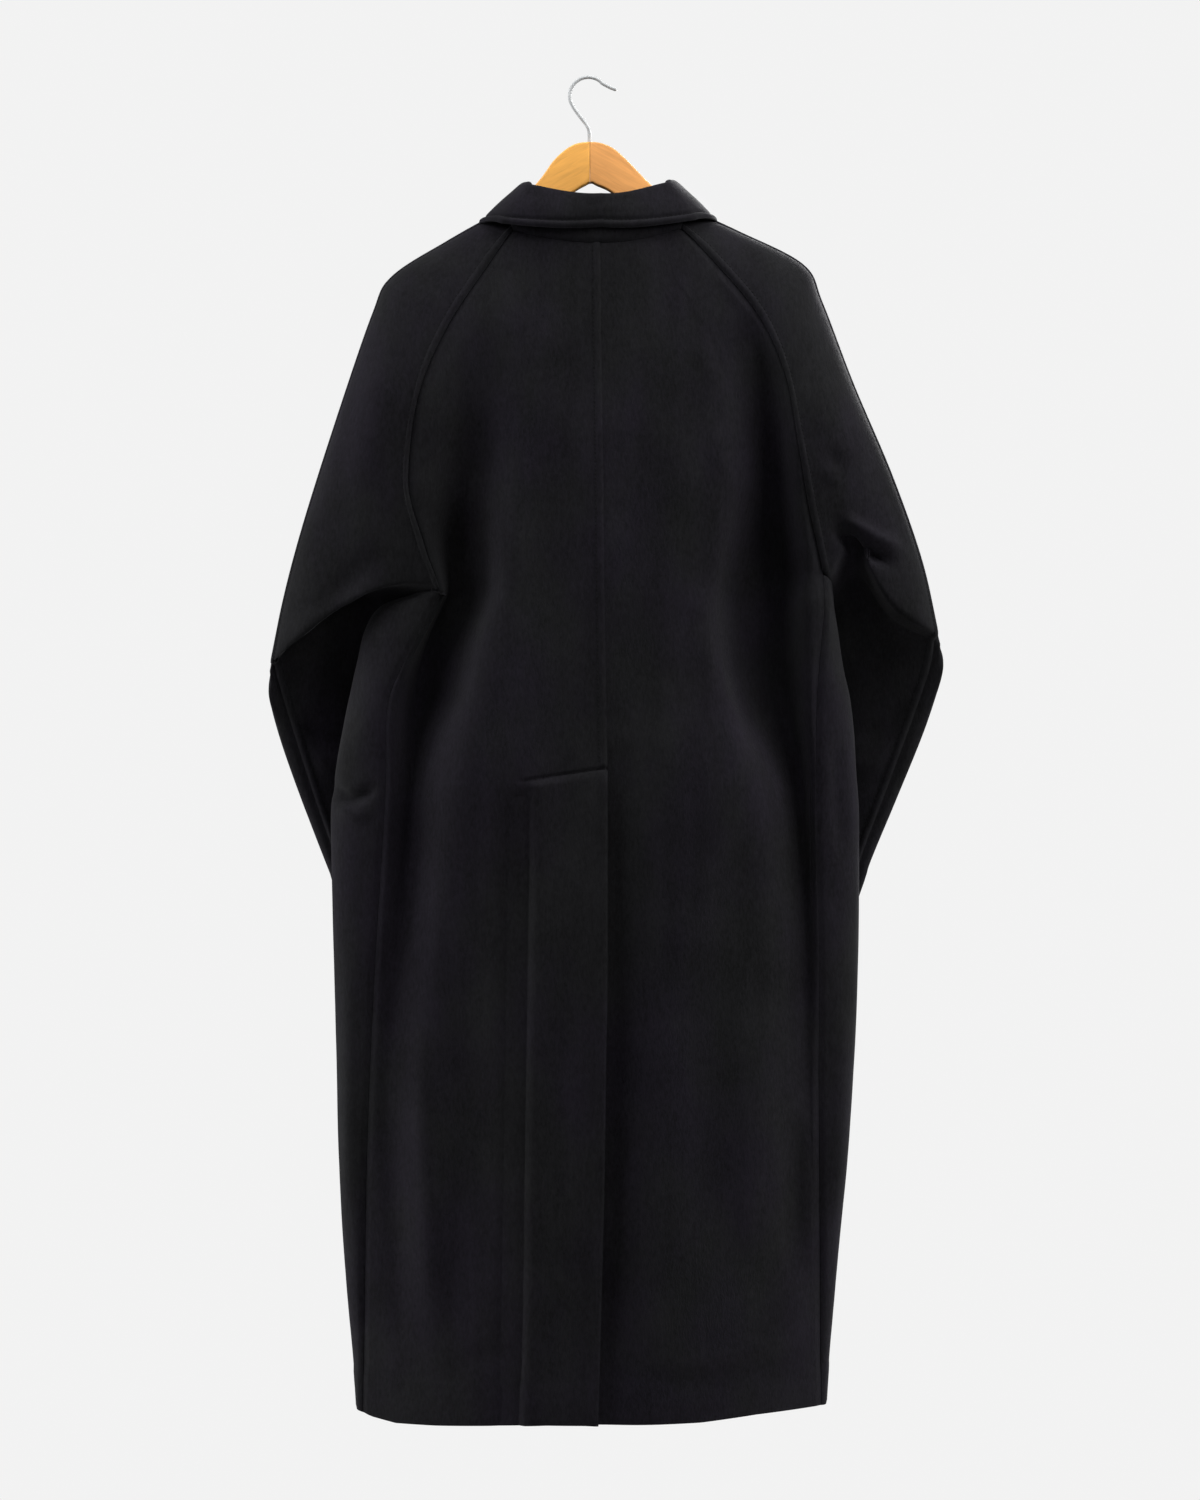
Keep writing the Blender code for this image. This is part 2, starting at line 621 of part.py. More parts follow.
def hook_line():
    """Points along the middle of the hook's wire."""
    line = list(HOOK_STEM)
    for angle in np.radians(np.linspace(HOOK_ARC_FROM, HOOK_ARC_TO, HOOK_ARC_STEPS)):
        x = HOOK_CENTRE.x + HOOK_RADIUS * math.cos(angle)
        line.append(OutlinePoint(x, HOOK_CENTRE.z + HOOK_RADIUS * math.sin(angle)))
    return line + list(HOOK_TIP)


def build_hanger():
    """Flat wooden hanger with a socket for the hook's stem."""
    board = bmesh.new()
    outline = [board.verts.new((point.x * MM, -HANGER_THICKNESS / 2 * MM, point.z * MM))
               for point in HANGER_TOP + HANGER_BOTTOM]
    swept = bmesh.ops.extrude_face_region(board, geom=[board.faces.new(outline)])
    moved = [item for item in swept["geom"] if isinstance(item, bmesh.types.BMVert)]
    bmesh.ops.translate(board, verts=moved, vec=(0, HANGER_THICKNESS * MM, 0))
    bmesh.ops.recalc_face_normals(board, faces=board.faces)
    round_rims(board, 1, HANGER_ROUNDING)
    hanger = place("hanger", finished_mesh("hanger", board), material("wood"))

    drill = cylinder(WIRE_DIAMETER + 2 * SEAM_GAP, 2 * SOCKET_DEPTH)
    socket = bpy.data.objects.new("hook_socket", finished_mesh("hook_socket", drill))
    socket.location = (HOOK_STEM[0].x * MM, 0, (HOOK_STEM[0].z - SEAM_GAP + SOCKET_DEPTH) * MM)
    socket.hide_render = True
    socket.display_type = "WIRE"
    bpy.context.scene.collection.objects.link(socket)
    cut = hanger.modifiers.new("hook socket", "BOOLEAN")
    cut.operation = "DIFFERENCE"
    cut.solver = "EXACT"
    cut.object = socket


def build_hook():
    """Bent wire set into the hanger's socket."""
    wire = bpy.data.curves.new("hook", "CURVE")
    wire.dimensions = "3D"
    wire.bevel_depth = WIRE_DIAMETER / 2 * MM
    wire.bevel_resolution = WIRE_STEPS
    wire.use_fill_caps = True
    spline = wire.splines.new("POLY")
    line = hook_line()
    spline.points.add(len(line) - 1)
    for knot, point in zip(spline.points, line):
        knot.co = (point.x * MM, 0, point.z * MM, 1)
    spline.use_smooth = True
    place("hook", wire, material("steel"))


def main():
    for item in list(bpy.data.objects):
        bpy.data.objects.remove(item, do_unlink=True)
    front = build_cloth()
    build_buttons(front)
    build_hanger()
    build_hook()


main()
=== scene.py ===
"""Looks of a raglan coat that hangs on a wooden hanger.

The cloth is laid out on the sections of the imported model, finer, with its seams, stitches and creases.
The coat's back faces -Y, the wearer's left is at -X, and the hook bears on its support at the origin.
Tables and sizes of the coat are in millimetres, as a pattern is drawn. MM turns them into metres.
"""

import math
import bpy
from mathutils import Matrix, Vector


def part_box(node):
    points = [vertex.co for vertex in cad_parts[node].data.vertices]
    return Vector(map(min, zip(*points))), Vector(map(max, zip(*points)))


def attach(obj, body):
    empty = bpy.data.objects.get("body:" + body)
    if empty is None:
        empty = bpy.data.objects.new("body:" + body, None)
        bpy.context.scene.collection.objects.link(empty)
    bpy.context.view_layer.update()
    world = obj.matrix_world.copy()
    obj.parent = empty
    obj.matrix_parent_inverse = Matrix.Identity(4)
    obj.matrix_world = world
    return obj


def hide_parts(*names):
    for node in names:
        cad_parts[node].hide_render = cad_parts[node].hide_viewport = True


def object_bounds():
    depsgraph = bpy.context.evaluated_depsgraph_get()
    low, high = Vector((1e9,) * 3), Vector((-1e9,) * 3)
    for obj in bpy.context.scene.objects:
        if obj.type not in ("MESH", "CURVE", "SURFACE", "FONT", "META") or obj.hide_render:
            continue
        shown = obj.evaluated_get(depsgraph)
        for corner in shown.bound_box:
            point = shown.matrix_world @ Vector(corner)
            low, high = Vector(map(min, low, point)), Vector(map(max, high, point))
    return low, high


bl_info = {
    "name": "Raglan coat on a hanger",
    "version": (1, 0, 0),
    "blender": (4, 5, 0),
    "location": "3D View > Sidebar > Coat",
    "description": "Builds a hung raglan coat, its hanger and a plain stage on the packed model",
    "category": "Object",
}

from collections import namedtuple

import bmesh
import bpy
import numpy as np
from bpy.props import FloatProperty, FloatVectorProperty, PointerProperty
from mathutils import Matrix, Vector

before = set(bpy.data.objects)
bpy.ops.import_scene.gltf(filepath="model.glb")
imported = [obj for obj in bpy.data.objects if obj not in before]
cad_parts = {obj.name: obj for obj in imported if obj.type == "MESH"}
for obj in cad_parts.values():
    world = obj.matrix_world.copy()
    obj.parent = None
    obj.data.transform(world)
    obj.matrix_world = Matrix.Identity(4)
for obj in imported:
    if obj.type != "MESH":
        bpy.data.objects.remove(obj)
CAD_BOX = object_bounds()
BODY = "root"
MM = 0.001


def table(columns, *rows):
    """Rows of a table, with its columns named."""
    row_of = namedtuple("Row", columns)
    return tuple(row_of(*row) for row in rows)


# Cloth and seams
WALL = 2.0
SEAM_GAP = 0.3
LAP_PLAY = 0.5
LAP_STEP = WALL + SEAM_GAP + LAP_PLAY

LEFT, RIGHT = -1, 1
SIDE_NAMES = {LEFT: "left", RIGHT: "right"}

# Shoulder sections, from the neck seam down to the underarm point. Each holds a point on the back
# raglan seam, on the overarm seam and on the front raglan seam, how far the back half swells, how far
# round the front half starts and swells, and how much the halves arch up between their seams.
SHOULDER_COLUMNS = ("back_x back_y back_z edge_x edge_z front_x front_y front_z "
                    "back_swell front_turn front_swell back_arch front_arch")
SHOULDER_ROWS = {
    LEFT: table(
        SHOULDER_COLUMNS,
        (-75, -38, -156, -84, -131, -78, 30, -178, 14, 0, 9, 0, 0),
        (-100, -46, -193, -140, -163, -95, 42, -215, 40, 0, 36, 0, 0),
        (-139, -54, -254, -196, -199, -128, 48, -262, 54, 0, 48, 0, 0),
        (-167, -58, -322, -215, -236, -155, 50, -325, 58, 0, 50, 0, 0),
        (-177, -60, -406, -250, -338, -170, 48, -400, 60, 0, 48, 0, 0),
        (-162, -56, -468, -284, -445, -170, 36, -466, 56, -15, 40, 3, 0),
        (-152, -53, -497, -304, -520, -168, 0, -498, 53, -60, 45, 15, 2),
        (-146, -50, -515, -318, -585, -146, -50, -515, 50, -75, 82, 27, 18),
    ),
    RIGHT: table(
        SHOULDER_COLUMNS,
        (92, -38, -154, 98, -130, 93, 30, -177, 14, 0, 9, 0, 0),
        (121, -46, -185, 150, -154, 112, 42, -212, 40, 0, 36, 0, 0),
        (166, -54, -240, 214, -187, 150, 48, -256, 54, 0, 48, 0, 0),
        (193, -58, -299, 233, -225, 182, 50, -316, 58, 0, 50, 0, 0),
        (206, -60, -367, 264, -306, 206, 48, -380, 60, 0, 48, 0, 0),
        (217, -54, -430, 303, -398, 222, 36, -442, 54, -15, 40, 3, 0),
        (226, -47, -470, 333, -484, 236, 0, -481, 47, -60, 40, 22, 2),
        (232, -42, -497, 350, -556, 232, -42, -497, 42, -75, 74, 48, 14),
    ),
}

# Heights of the same sections on the centre back seam and on the centre front
CENTRE_BACK_HEIGHTS = (-170.6, -206, -262, -322, -396, -452, -484, -506)
CENTRE_FRONT_HEIGHTS = (-232, -258, -300, -352, -414, -462, -490, -508)

# Closed sections of the sleeve below the underarm point: the tuck above the elbow, the elbow, and the
# forearm that bends forward down to the cuff.
FOREARM_COLUMNS = "seam_x seam_y seam_z edge_x edge_y edge_z back_swell front_swell back_arch front_arch"
FOREARM_ROWS = {
    LEFT: table(
        FOREARM_COLUMNS,
        (-207, 6, -529, -319, 2, -592, 5, 36, 34, 5),
        (-200, 32, -552, -321, 8, -612, 9, 26, 8, 0),
        (-192, 50, -602, -312, 22, -655, 15, 18, 0, 0),
        (-172, 56, -682, -290, 36, -722, 16, 17, 0, 0),
        (-140, 62, -745, -268, 48, -782, 16, 16, 0, 0),
        (-108, 66, -795, -248, 58, -838, 15, 15, 0, 0),
    ),
    RIGHT: table(
        FOREARM_COLUMNS,
        (241, 8, -519, 352, 2, -565, 8, 34, 32, 5),
        (236, 30, -543, 356, 8, -586, 9, 25, 8, 0),
        (236, 50, -588, 342, 22, -640, 15, 18, 0, 0),
        (208, 56, -672, 314, 36, -714, 16, 17, 0, 0),
        (172, 62, -738, 290, 48, -774, 16, 16, 0, 0),
        (136, 66, -790, 270, 58, -832, 15, 15, 0, 0),
    ),
}

# Where an arch peaks across a sleeve half, and how narrow it is
Arch = namedtuple("Arch", "skew sharpness")
ARCHES = {LEFT: Arch(0.75, 1), RIGHT: Arch(0.5, 6)}
FRONT_ARCH = Arch(0.45, 1)
# Where the halves of a closed section start round the arm, in degrees
FULL_TURN = -90

# Body edges beside the underarm points, where the fronts leave the armholes
UNDERARM_EDGE = {LEFT: (-176, -6, -515), RIGHT: (243, -6, -505)}

# Sections of the body below the underarms: side seams, and the outer edges round which the fronts turn
BODY_ROWS = table(
    "height left_seam left_edge right_seam right_edge seam_y",
    (-529, -153, -209, 233, 245, -47),
    (-554, -166, -224, 231, 249, -47),
    (-588, -184, -232, 228, 254, -46),
    (-620, -197, -239, 226, 261, -45),
    (-655, -200, -246, 225, 265, -45),
    (-690, -200, -252, 225, 267, -45),
    (-740, -202, -257, 225, 270, -45),
    (-800, -206, -256, 226, 270, -44),
    (-880, -211, -254, 228, 269, -43),
    (-980, -216, -251, 228, 265, -40),
    (-1090, -220, -248, 229, 257, -36),
    (-1210, -222, -241, 230, 246, -30),
    (-1327, -224, -231, 231, 237, -22),
)
EDGE_Y = -8
VENT_TOP_ROW = 5

# Centre back seam and centre front line
CENTRE_FRONT_X = 8
CENTRE_ROWS = table(
    "height back_x back_y front_y",
    (-170, 12, -52, 44),
    (-262, 13, -62, 46),
    (-400, 15, -72, 46),
    (-510, 16, -78, 45),
    (-690, 19, -84, 44),
    (-880, 19, -92, 43),
    (-1090, 16, -98, 42),
    (-1327, 10, -100, 40),
)

# Deep folds of the back beside the armholes. The offset is taken from the outer seam to the fold's
# bottom, the reaches run from there to its outer lip and towards the centre back.
FOLD_COLUMNS = "height offset reach_out reach_in depth"
SIDE_FOLDS = {
    LEFT: table(
        FOLD_COLUMNS,
        (-262, 58, 45, 60, 0),
        (-322, 58, 45, 60, 9),
        (-406, 54, 44, 60, 30),
        (-468, 27, 26, 60, 38),
        (-515, 10, 10, 62, 38),
        (-562, 12, 12, 62, 42),
        (-620, 30, 28, 65, 42),
        (-690, 28, 26, 58, 34),
        (-759, 26, 24, 50, 25),
        (-838, 25, 22, 46, 16),
        (-916, 22, 20, 42, 9),
        (-1100, 20, 20, 40, 0),
    ),
    RIGHT: table(
        FOLD_COLUMNS,
        (-232, 20, 20, 55, 0),
        (-312, 19, 19, 56, 20),
        (-392, 25, 25, 58, 38),
        (-465, 38, 32, 62, 44),
        (-524, 48, 36, 72, 50),
        (-583, 42, 35, 72, 48),
        (-642, 28, 26, 58, 38),
        (-700, 16, 16, 60, 28),
        (-759, 12, 12, 50, 21),
        (-838, 11, 11, 46, 15),
        (-916, 14, 14, 42, 9),
        (-1100, 16, 16, 40, 0),
    ),
}

# Vent: the left back laps over this width of the right back
VENT_UNDERLAP = 82
VENT_EASE = 62

# Front closing: each front reaches past the centre front, the left one on top
FRONT_LAP = 25
LAP_CLEAR = 9
LAP_EASE = 46
FRONT_SQUARENESS = 2.4

# Bend of a front beside its armhole: its share of the way to the centre front, and its rise over that
ARMHOLE_BEND = 0.12
ARMHOLE_RISE = 2.0
# The back panels turn from the armhole into the side seam beyond this share of their width
UNDERARM_TURN = 0.7

# Collar at five stations of a half neck: how far the stand rises from the neck seam, and where the
# fall's edge lies from the top of the stand.
COLLAR_COLUMNS = "rise_x rise_y rise_z edge_x edge_y edge_z"
COLLAR_STATIONS = {
    LEFT: table(
        COLLAR_COLUMNS,
        (0, 0, 41, 0, -5, -27),
        (19, 4, 38, -31, -12, -33),
        (21, 0, 21, -47, 0, -35),
        (19, 2, 40, -42, 34, -52),
        (0, 2, 32, -54, 14, -80),
    ),
    RIGHT: table(
        COLLAR_COLUMNS,
        (0, 0, 41, 0, -5, -27),
        (-16, 4, 38, 29, -12, -32),
        (-14, 0, 22, 45, 0, -35),
        (-16, 2, 40, 38, 34, -52),
        (0, 2, 32, 54, 14, -80),
    ),
}
FALL_SEAT = 1.2
FOLD_HEIGHT = 6.0
FOLD_REACH = 6.5
FALL_PROFILE = table("out rise", (0, 0), (0, 0.45), (0.35, 0.95), (0.8, 0.8))
FALL_REACHES = (0.25, 0.5, 0.75, 1.0)

# Hanger outline: its top edge from the left end to the right one, and its bottom edge back again
HANGER_TOP = table(
    "x z",
    (-194, -207), (-186, -197.5), (-140, -167), (-86, -141), (-51, -104), (-35, -82.4), (-21, -69.9),
    (-9, -64.6), (5, -63.7), (22, -68.4), (37, -80.4), (61, -105), (100, -140), (150, -158.5), (203, -186),
    (212, -196),
)
HANGER_BOTTOM = table(
    "x z",
    (211, -210), (203, -209), (150, -186), (98, -162), (45, -130), (22, -113), (8.5, -106.6), (2.5, -104),
    (-3.5, -106.6), (-13, -112), (-40, -130), (-84, -161), (-140, -194), (-184, -219), (-193, -219),
)
HANGER_THICKNESS = 12

# Hook, along the middle of its wire from inside the hanger to the free tip
WIRE_DIAMETER = 3.6
HOOK_RADIUS = 18.8
HOOK_CENTRE_HEIGHT = WIRE_DIAMETER / 2 - HOOK_RADIUS
HOOK_STEM = table("x z", (0.9, -88), (0.9, -70), (0.9, -56), (-1.2, -47.5), (-8.6, -37.5), (-15.4, -28))
HOOK_TIP = table("x z", (21, -8.2), (26.5, -10.4))
HOOK_ARC_FROM, HOOK_ARC_TO, HOOK_ARC_STEPS = 190, 42, 14

# How finely the cloth is laid out: distance between rows, between columns, the columns beside an edge,
# and the points of the lines that they are picked from
ROW_STEP = 4.0
COLUMN_STEP = 4.5
EDGE_MARKS = (0, 0.5, 1.1, 2.2, 4.0, 5.8, 6.9, 7.5, 8.0, 8.6, 9.4, 10.8, 13.0)
LINE_STEPS = 160
TURN_STEPS = LINE_STEPS // 2
LAP_STEPS = LINE_STEPS // 4
PATH_STEPS = 8

# Seams and edges: how high the band beside the edge lies, how wide it is, how deep its stitches sink,
# how wide the slope is beyond it, how far the very edge rolls down and whether stitches follow it
Edge = namedtuple("Edge", "rise band dent slope roll stitched")
EDGES = {
    "lapped": Edge(1.5, 8.0, 1.5, 2.6, 1.4, True),
    "tucked": Edge(-0.9, 1.0, 0.0, 6.0, 0.2, False),
    "turned": Edge(1.4, 8.0, 2.3, 2.4, 1.3, True),
    "hemmed": Edge(0.9, 34.0, 0.3, 12.0, 0.7, False),
    "cut": Edge(0.0, 1.0, 0.0, 1.0, 0.4, False),
}
EDGE_NAMES = ("start", "end", "top", "bottom")
DENT_WIDTH = 1.7
ROLL_REACH = 3.0
# The inside of a rolled edge turns by this share of the outside's roll
INNER_ROLL = 0.5

# Stitches
STITCH_PITCH = 4.2
STITCH_SIDES = 5
STITCH_RINGS = table(
    "place radius lift",
    (-0.5, 0.16, -0.35), (-0.3, 0.36, 0.02), (0.0, 0.42, 0.14), (0.3, 0.36, 0.02), (0.5, 0.16, -0.35),
)

# Creases, as seen from the back or the front. Each follows points given as x and height, fades towards
# its ends, and stands out of the cloth (a ridge) or sinks into it (a trough) by its height.
BACK, FRONT = -1, 1
CREASE_COLUMNS = "path width height"
CREASES = {
    ("back_left", BACK): table(
        CREASE_COLUMNS,
        (((-42, -225), (-40, -300), (-44, -400)), 16, 1.6),
        (((-78, -420), (-62, -560), (-40, -680)), 26, 4.0),
        (((-190, -660), (-120, -690), (-90, -700), (-20, -700)), 80, 12.0),
        (((-128, -800), (-118, -1000), (-110, -1280)), 26, -6.0),
        (((-168, -900), (-160, -1060), (-148, -1280)), 16, 5.0),
        (((-196, -960), (-192, -1120), (-186, -1290)), 13, -3.0),
        (((-150, -1285), (-90, -1262), (-40, -1270)), 11, -1.6),
        (((-108, -400), (-112, -500), (-132, -600), (-150, -720)), 20, -7.0),
    ),
    ("back_right", BACK): table(
        CREASE_COLUMNS,
        (((72, -230), (70, -320), (76, -430)), 18, 1.8),
        (((160, -400), (148, -520), (158, -610), (180, -720)), 24, -12.0),
        (((152, -640), (128, -740), (98, -830), (78, -930)), 24, 5.0),
        (((22, -640), (21, -860), (15, -1120), (10, -1420)), 25, -11.0),
        (((30, -690), (90, -700), (130, -700), (200, -680)), 75, 10.0),
        (((120, -860), (112, -1010), (120, -1180)), 26, -4.0),
        (((160, -900), (162, -1040), (158, -1220)), 20, 4.0),
        (((202, -1010), (205, -1110), (203, -1210)), 14, -5.5),
        (((52, -1276), (130, -1266), (222, -1246)), 10, 2.6),
        (((60, -1296), (130, -1288), (210, -1272)), 10, -2.0),
    ),
    ("front_left", BACK): table(
        CREASE_COLUMNS,
        (((-262, -700), (-236, -718), (-196, -704)), 6, -7.0),
        (((-250, -722), (-232, -734), (-208, -726)), 8, 4.0),
        (((-236, -860), (-238, -1000), (-234, -1180)), 10, 2.5),
    ),
    ("front_left", FRONT): table(
        CREASE_COLUMNS,
        (((-150, -520), (-110, -640), (-96, -800)), 24, -6.0),
        (((-196, -600), (-172, -800), (-176, -1060)), 26, 5.0),
        (((-120, -840), (-124, -1060), (-116, -1290)), 22, -5.5),
        (((-70, -720), (-72, -960), (-64, -1260)), 20, 4.0),
        (((-120, -330), (-96, -400), (-52, -450)), 16, -2.5),
    ),
    ("front_right", BACK): table(
        CREASE_COLUMNS,
        (((244, -640), (248, -720), (254, -800)), 9, -3.5),
        (((250, -880), (250, -1010), (244, -1160)), 9, 2.5),
    ),
    ("front_right", FRONT): table(
        CREASE_COLUMNS,
        (((170, -520), (128, -640), (112, -800)), 24, -6.0),
        (((214, -620), (190, -820), (192, -1080)), 26, 5.0),
        (((136, -860), (142, -1060), (132, -1290)), 22, -5.5),
        (((84, -740), (88, -980), (80, -1270)), 20, 4.0),
        (((136, -330), (108, -396), (64, -446)), 16, -2.5),
    ),
    ("sleeve_left_back", BACK): table(
        CREASE_COLUMNS,
        (((-196, -270), (-214, -350), (-236, -440)), 18, 3.0),
        (((-190, -470), (-232, -500), (-282, -560)), 13, -3.0),
        (((-206, -520), (-250, -528), (-300, -566)), 10, 3.0),
        (((-300, -640), (-262, -660), (-226, -662)), 10, -3.5),
        (((-290, -672), (-256, -690), (-214, -694)), 11, 3.0),
    ),
    ("sleeve_left_front", FRONT): table(
        CREASE_COLUMNS,
        (((-196, -300), (-222, -400), (-262, -500)), 20, 3.5),
        (((-190, -480), (-240, -520), (-300, -560)), 14, -4.0),
        (((-206, -560), (-250, -590), (-304, -606)), 12, 3.5),
        (((-180, -660), (-230, -690), (-282, -694)), 11, -3.0),
    ),
    ("sleeve_right_back", BACK): table(
        CREASE_COLUMNS,
        (((236, -372), (244, -386), (254, -398)), 8, -1.8),
        (((228, -390), (240, -402), (250, -412)), 8, 1.8),
        (((244, -436), (266, -450), (290, -463), (320, -474)), 6, 6.0),
        (((238, -450), (262, -468), (288, -481), (312, -488)), 6, -10.0),
        (((224, -280), (238, -340), (262, -400)), 18, 2.6),
        (((330, -620), (300, -648), (262, -660)), 11, -3.0),
        (((322, -660), (290, -684), (244, -690)), 11, 3.0),
    ),
    ("sleeve_right_front", FRONT): table(
        CREASE_COLUMNS,
        (((226, -290), (256, -390), (296, -480)), 20, 3.5),
        (((238, -460), (284, -500), (334, -536)), 14, -4.0),
        (((256, -540), (298, -572), (338, -590)), 12, 3.5),
        (((216, -650), (264, -684), (308, -690)), 11, -3.0),
    ),
}
# How soon a crease fades from its ends, and how sharply where the cloth turns away from its side
CREASE_FADE = 3.0
FACING_SHARPNESS = 1.5

# Uneven fall of the hem, which dies out above it
HEM_FALL = table(
    "x rise",
    (-231, 0), (-214, -5), (-190, -8.5), (-150, -7), (-100, -3.5), (-40, 0), (110, 0), (165, 3.5),
    (231, 5),
)
HEM_FALL_TOP = -1200

# Step of the left back over the underlap's hidden edge, and the slanting stitches at the vent's top
UNDERLAP_EDGE = ((-58, -700), (-61, -900), (-66, -1240), (-69, -1327))
UNDERLAP_STEP = 4.2
UNDERLAP_SLOPE = 8.0
UNDERLAP_WIDTH = 70.0
UNDERLAP_THINNING = 0.8
UNDERLAP_DIP = 5.0
DIP_WIDTH = 12.0
DIP_EASE = 32.0
VENT_TACK = ((19, -688.5), (-50, -699), (-64, -702))
TACK_DENT = 1.5
VENT_EDGE_LIFT = 3.0
VENT_EDGE_REACH = 16.0
TACK_WIDTH = 1.5
TACK_ROW_STEP = 1.4
TACK_STEPS = 40

# How far the overarm seam lies behind the outer edge at each section of the sleeve
SEAM_SHIFT = (0, 0, 0, 0, 0, 0, 0, 4, 8, 14, 18, 17, 15, 12)

# Fall and stand of the collar bow out by this much, and the step of the collar's columns
FALL_BOW = 2.0
STAND_BOW = 2.2
COLLAR_STEP = 4.0
STAND_ROWS = 16

# Seam allowances, which go on past a seam and lie inside the neighbouring cloth
SEAM_ALLOWANCE = table("past inward", (1.5, 2.6), (6, 3.4))
NECK_ALLOWANCE = table("past inward", (9, 4.2), (5, 4.0), (2.5, 2.8), (1, 1.2), (0.3, 0.3))

# Rounding of the sleeve's fold above the elbow, in sections, and how often it is eased
FOLD_SOFTNESS = 0.12
FOLD_PASSES = 2

# Creases keep this far from sewn edges
CREASE_CLEAR = 22.0
# Seam rise for which the heights of the edges are given
SEAM_RISE = 1.3
# Edges that bend more than this are shaded as corners
SHARP_ANGLE = math.radians(62)

# Flat cut of each panel in metres and square metres, as far as it shows
Cut = namedtuple("Cut", "width length area")

# Buttons: the profile from the middle of the face to the middle of the back, as shares of the radius and
# of the thickness, the four holes, the thread through them and the worked buttonholes
BUTTON_PROFILE = table(
    "out height",
    (0.03, 0.62), (0.42, 0.60), (0.62, 0.66), (0.72, 0.92), (0.82, 1.0), (0.93, 0.93), (1.0, 0.62),
    (0.97, 0.25), (0.85, 0.04), (0.70, 0.0), (0.03, 0.0),
)
BUTTON_COUNT = 4
BUTTON_SIDES = 72
BUTTON_RINGS = 60
HOLE_RADIUS = 1.15
HOLE_PLACE = 2.5
HOLE_DEPTH = 18
HOLE_SIDES = 24
THREAD_RADIUS = 0.55
THREAD_STEPS = 9
THREAD_SIDES = 10
BUTTONHOLE_LENGTH = 30
BUTTONHOLE_WIDTH = 2.6
BUTTONHOLE_PAST = 4
BUTTONHOLE_BEAD = 0.75
BUTTONHOLE_STEPS = 48
BEAD_SIDES = 8

# Hanger: rounding of its edges, the glued joint of its two halves and the slope of its grain
HANGER_ROUNDING = 1.8
ROUNDING_STEPS = 6
OUTLINE_STEPS = 110
GLUE_LINE = 1.4
GLUE_GAP = 0.12
# Outline points keep this far from the joint, whose edges take this share of the rounding
JOINT_CLEAR = 1.0
JOINT_ROUNDING = 0.1
ARM_SLOPE = math.radians(-27)
HOOK_STEPS = 220
WIRE_SIDES = 20
TIP_TURNS = (80, 55, 28)

# Rows over which the lapped seams run out, in sections
VENT_LAP_FADE = 0.12
RAGLAN_FADE = 0.25

# Stage, in metres
CAMERA_X, CAMERA_HEIGHT = 0.0115, -0.671
FLOOR_RADIUS = 1.5
FLOOR_SIDES = 96
FLOOR_PROFILE = table(
    "out rise",
    (0.02, 0), (0.5, 0), (0.98, 0), (0.995, -0.004), (1.0, -0.015), (1.0, -0.05),
)
# Lamps, each with its share of the power of a stage setting
WHITE, WARM, COOL = (1.0, 1.0, 1.0), (1.0, 0.99, 0.98), (0.99, 0.99, 1.0)
LAMPS = table(
    "name spot size setting share colour",
    ("right_lamp", (2.3, -0.9, 1.1), 1.9, "side_power", 1.22, WARM),
    ("left_lamp", (-2.3, -0.9, 1.6), 1.8, "side_power", 1.0, COOL),
    ("high_lamp", (0.0, -0.6, 2.4), 1.8, "high_power", 1.0, WHITE),
    ("fill_lamp", (0.1, -2.9, 0.3), 1.8, "fill_power", 1.0, WARM),
    ("right_edge_lamp", (2.3, 0.25, -1.2), 1.5, "edge_power", 1.0, WHITE),
    ("left_edge_lamp", (-2.3, 0.25, -1.2), 1.5, "edge_power", 2.2, WHITE),
    ("front_lamp", (1.3, 2.8, 0.8), 1.6, "front_power", 1.0, WHITE),
)


def smooth_step(value):
    """Ease from 0 to 1, flat outside that range."""
    eased = np.clip(value, 0.0, 1.0)
    return eased * eased * (3.0 - 2.0 * eased)


def unit(vectors):
    """Vectors brought to length one."""
    length = np.linalg.norm(vectors, axis=-1, keepdims=True)
    return vectors / np.maximum(length, 1e-9)


def run_length(line):
    """Distance of each point of a line from its start."""
    steps = np.linalg.norm(np.diff(line, axis=0), axis=1)
    return np.concatenate([[0.0], np.cumsum(steps)])


def picked(line, length, wanted):
    """Points of a line at the wanted distances from its start."""
    return np.stack([np.interp(wanted, length, line[:, axis]) for axis in range(3)], axis=1)


def along(rows, column, height):
    """Value of a table's column at a height, between its rows."""
    heights = [row.height for row in reversed(rows)]
    values = [getattr(row, column) for row in reversed(rows)]
    return np.interp(height, heights, values)


def flowing(rows, at):
    """Rows between given rows, on smooth lines that do not overshoot them."""
    rows = np.asarray(rows, dtype=float)
    at = np.asarray(at, dtype=float)
    steps = np.diff(rows, axis=0)
    slopes = np.zeros_like(rows)
    slopes[0], slopes[-1] = steps[0], steps[-1]
    before, after = steps[:-1], steps[1:]
    limit = 3.0 * np.minimum(np.abs(before), np.abs(after))
    mean = np.clip(0.5 * (before + after), -limit, limit)
    slopes[1:-1] = np.where(before * after > 0.0, mean, 0.0)
    index = np.clip(at.astype(int), 0, len(steps) - 1)
    share = (at - index).reshape((-1,) + (1,) * (rows.ndim - 1))
    start, rise = rows[index], steps[index]
    leave, arrive = slopes[index], slopes[index + 1]
    bend = 3.0 * rise - 2.0 * leave - arrive
    return start + share * (leave + share * (bend + share * (leave + arrive - 2.0 * rise)))


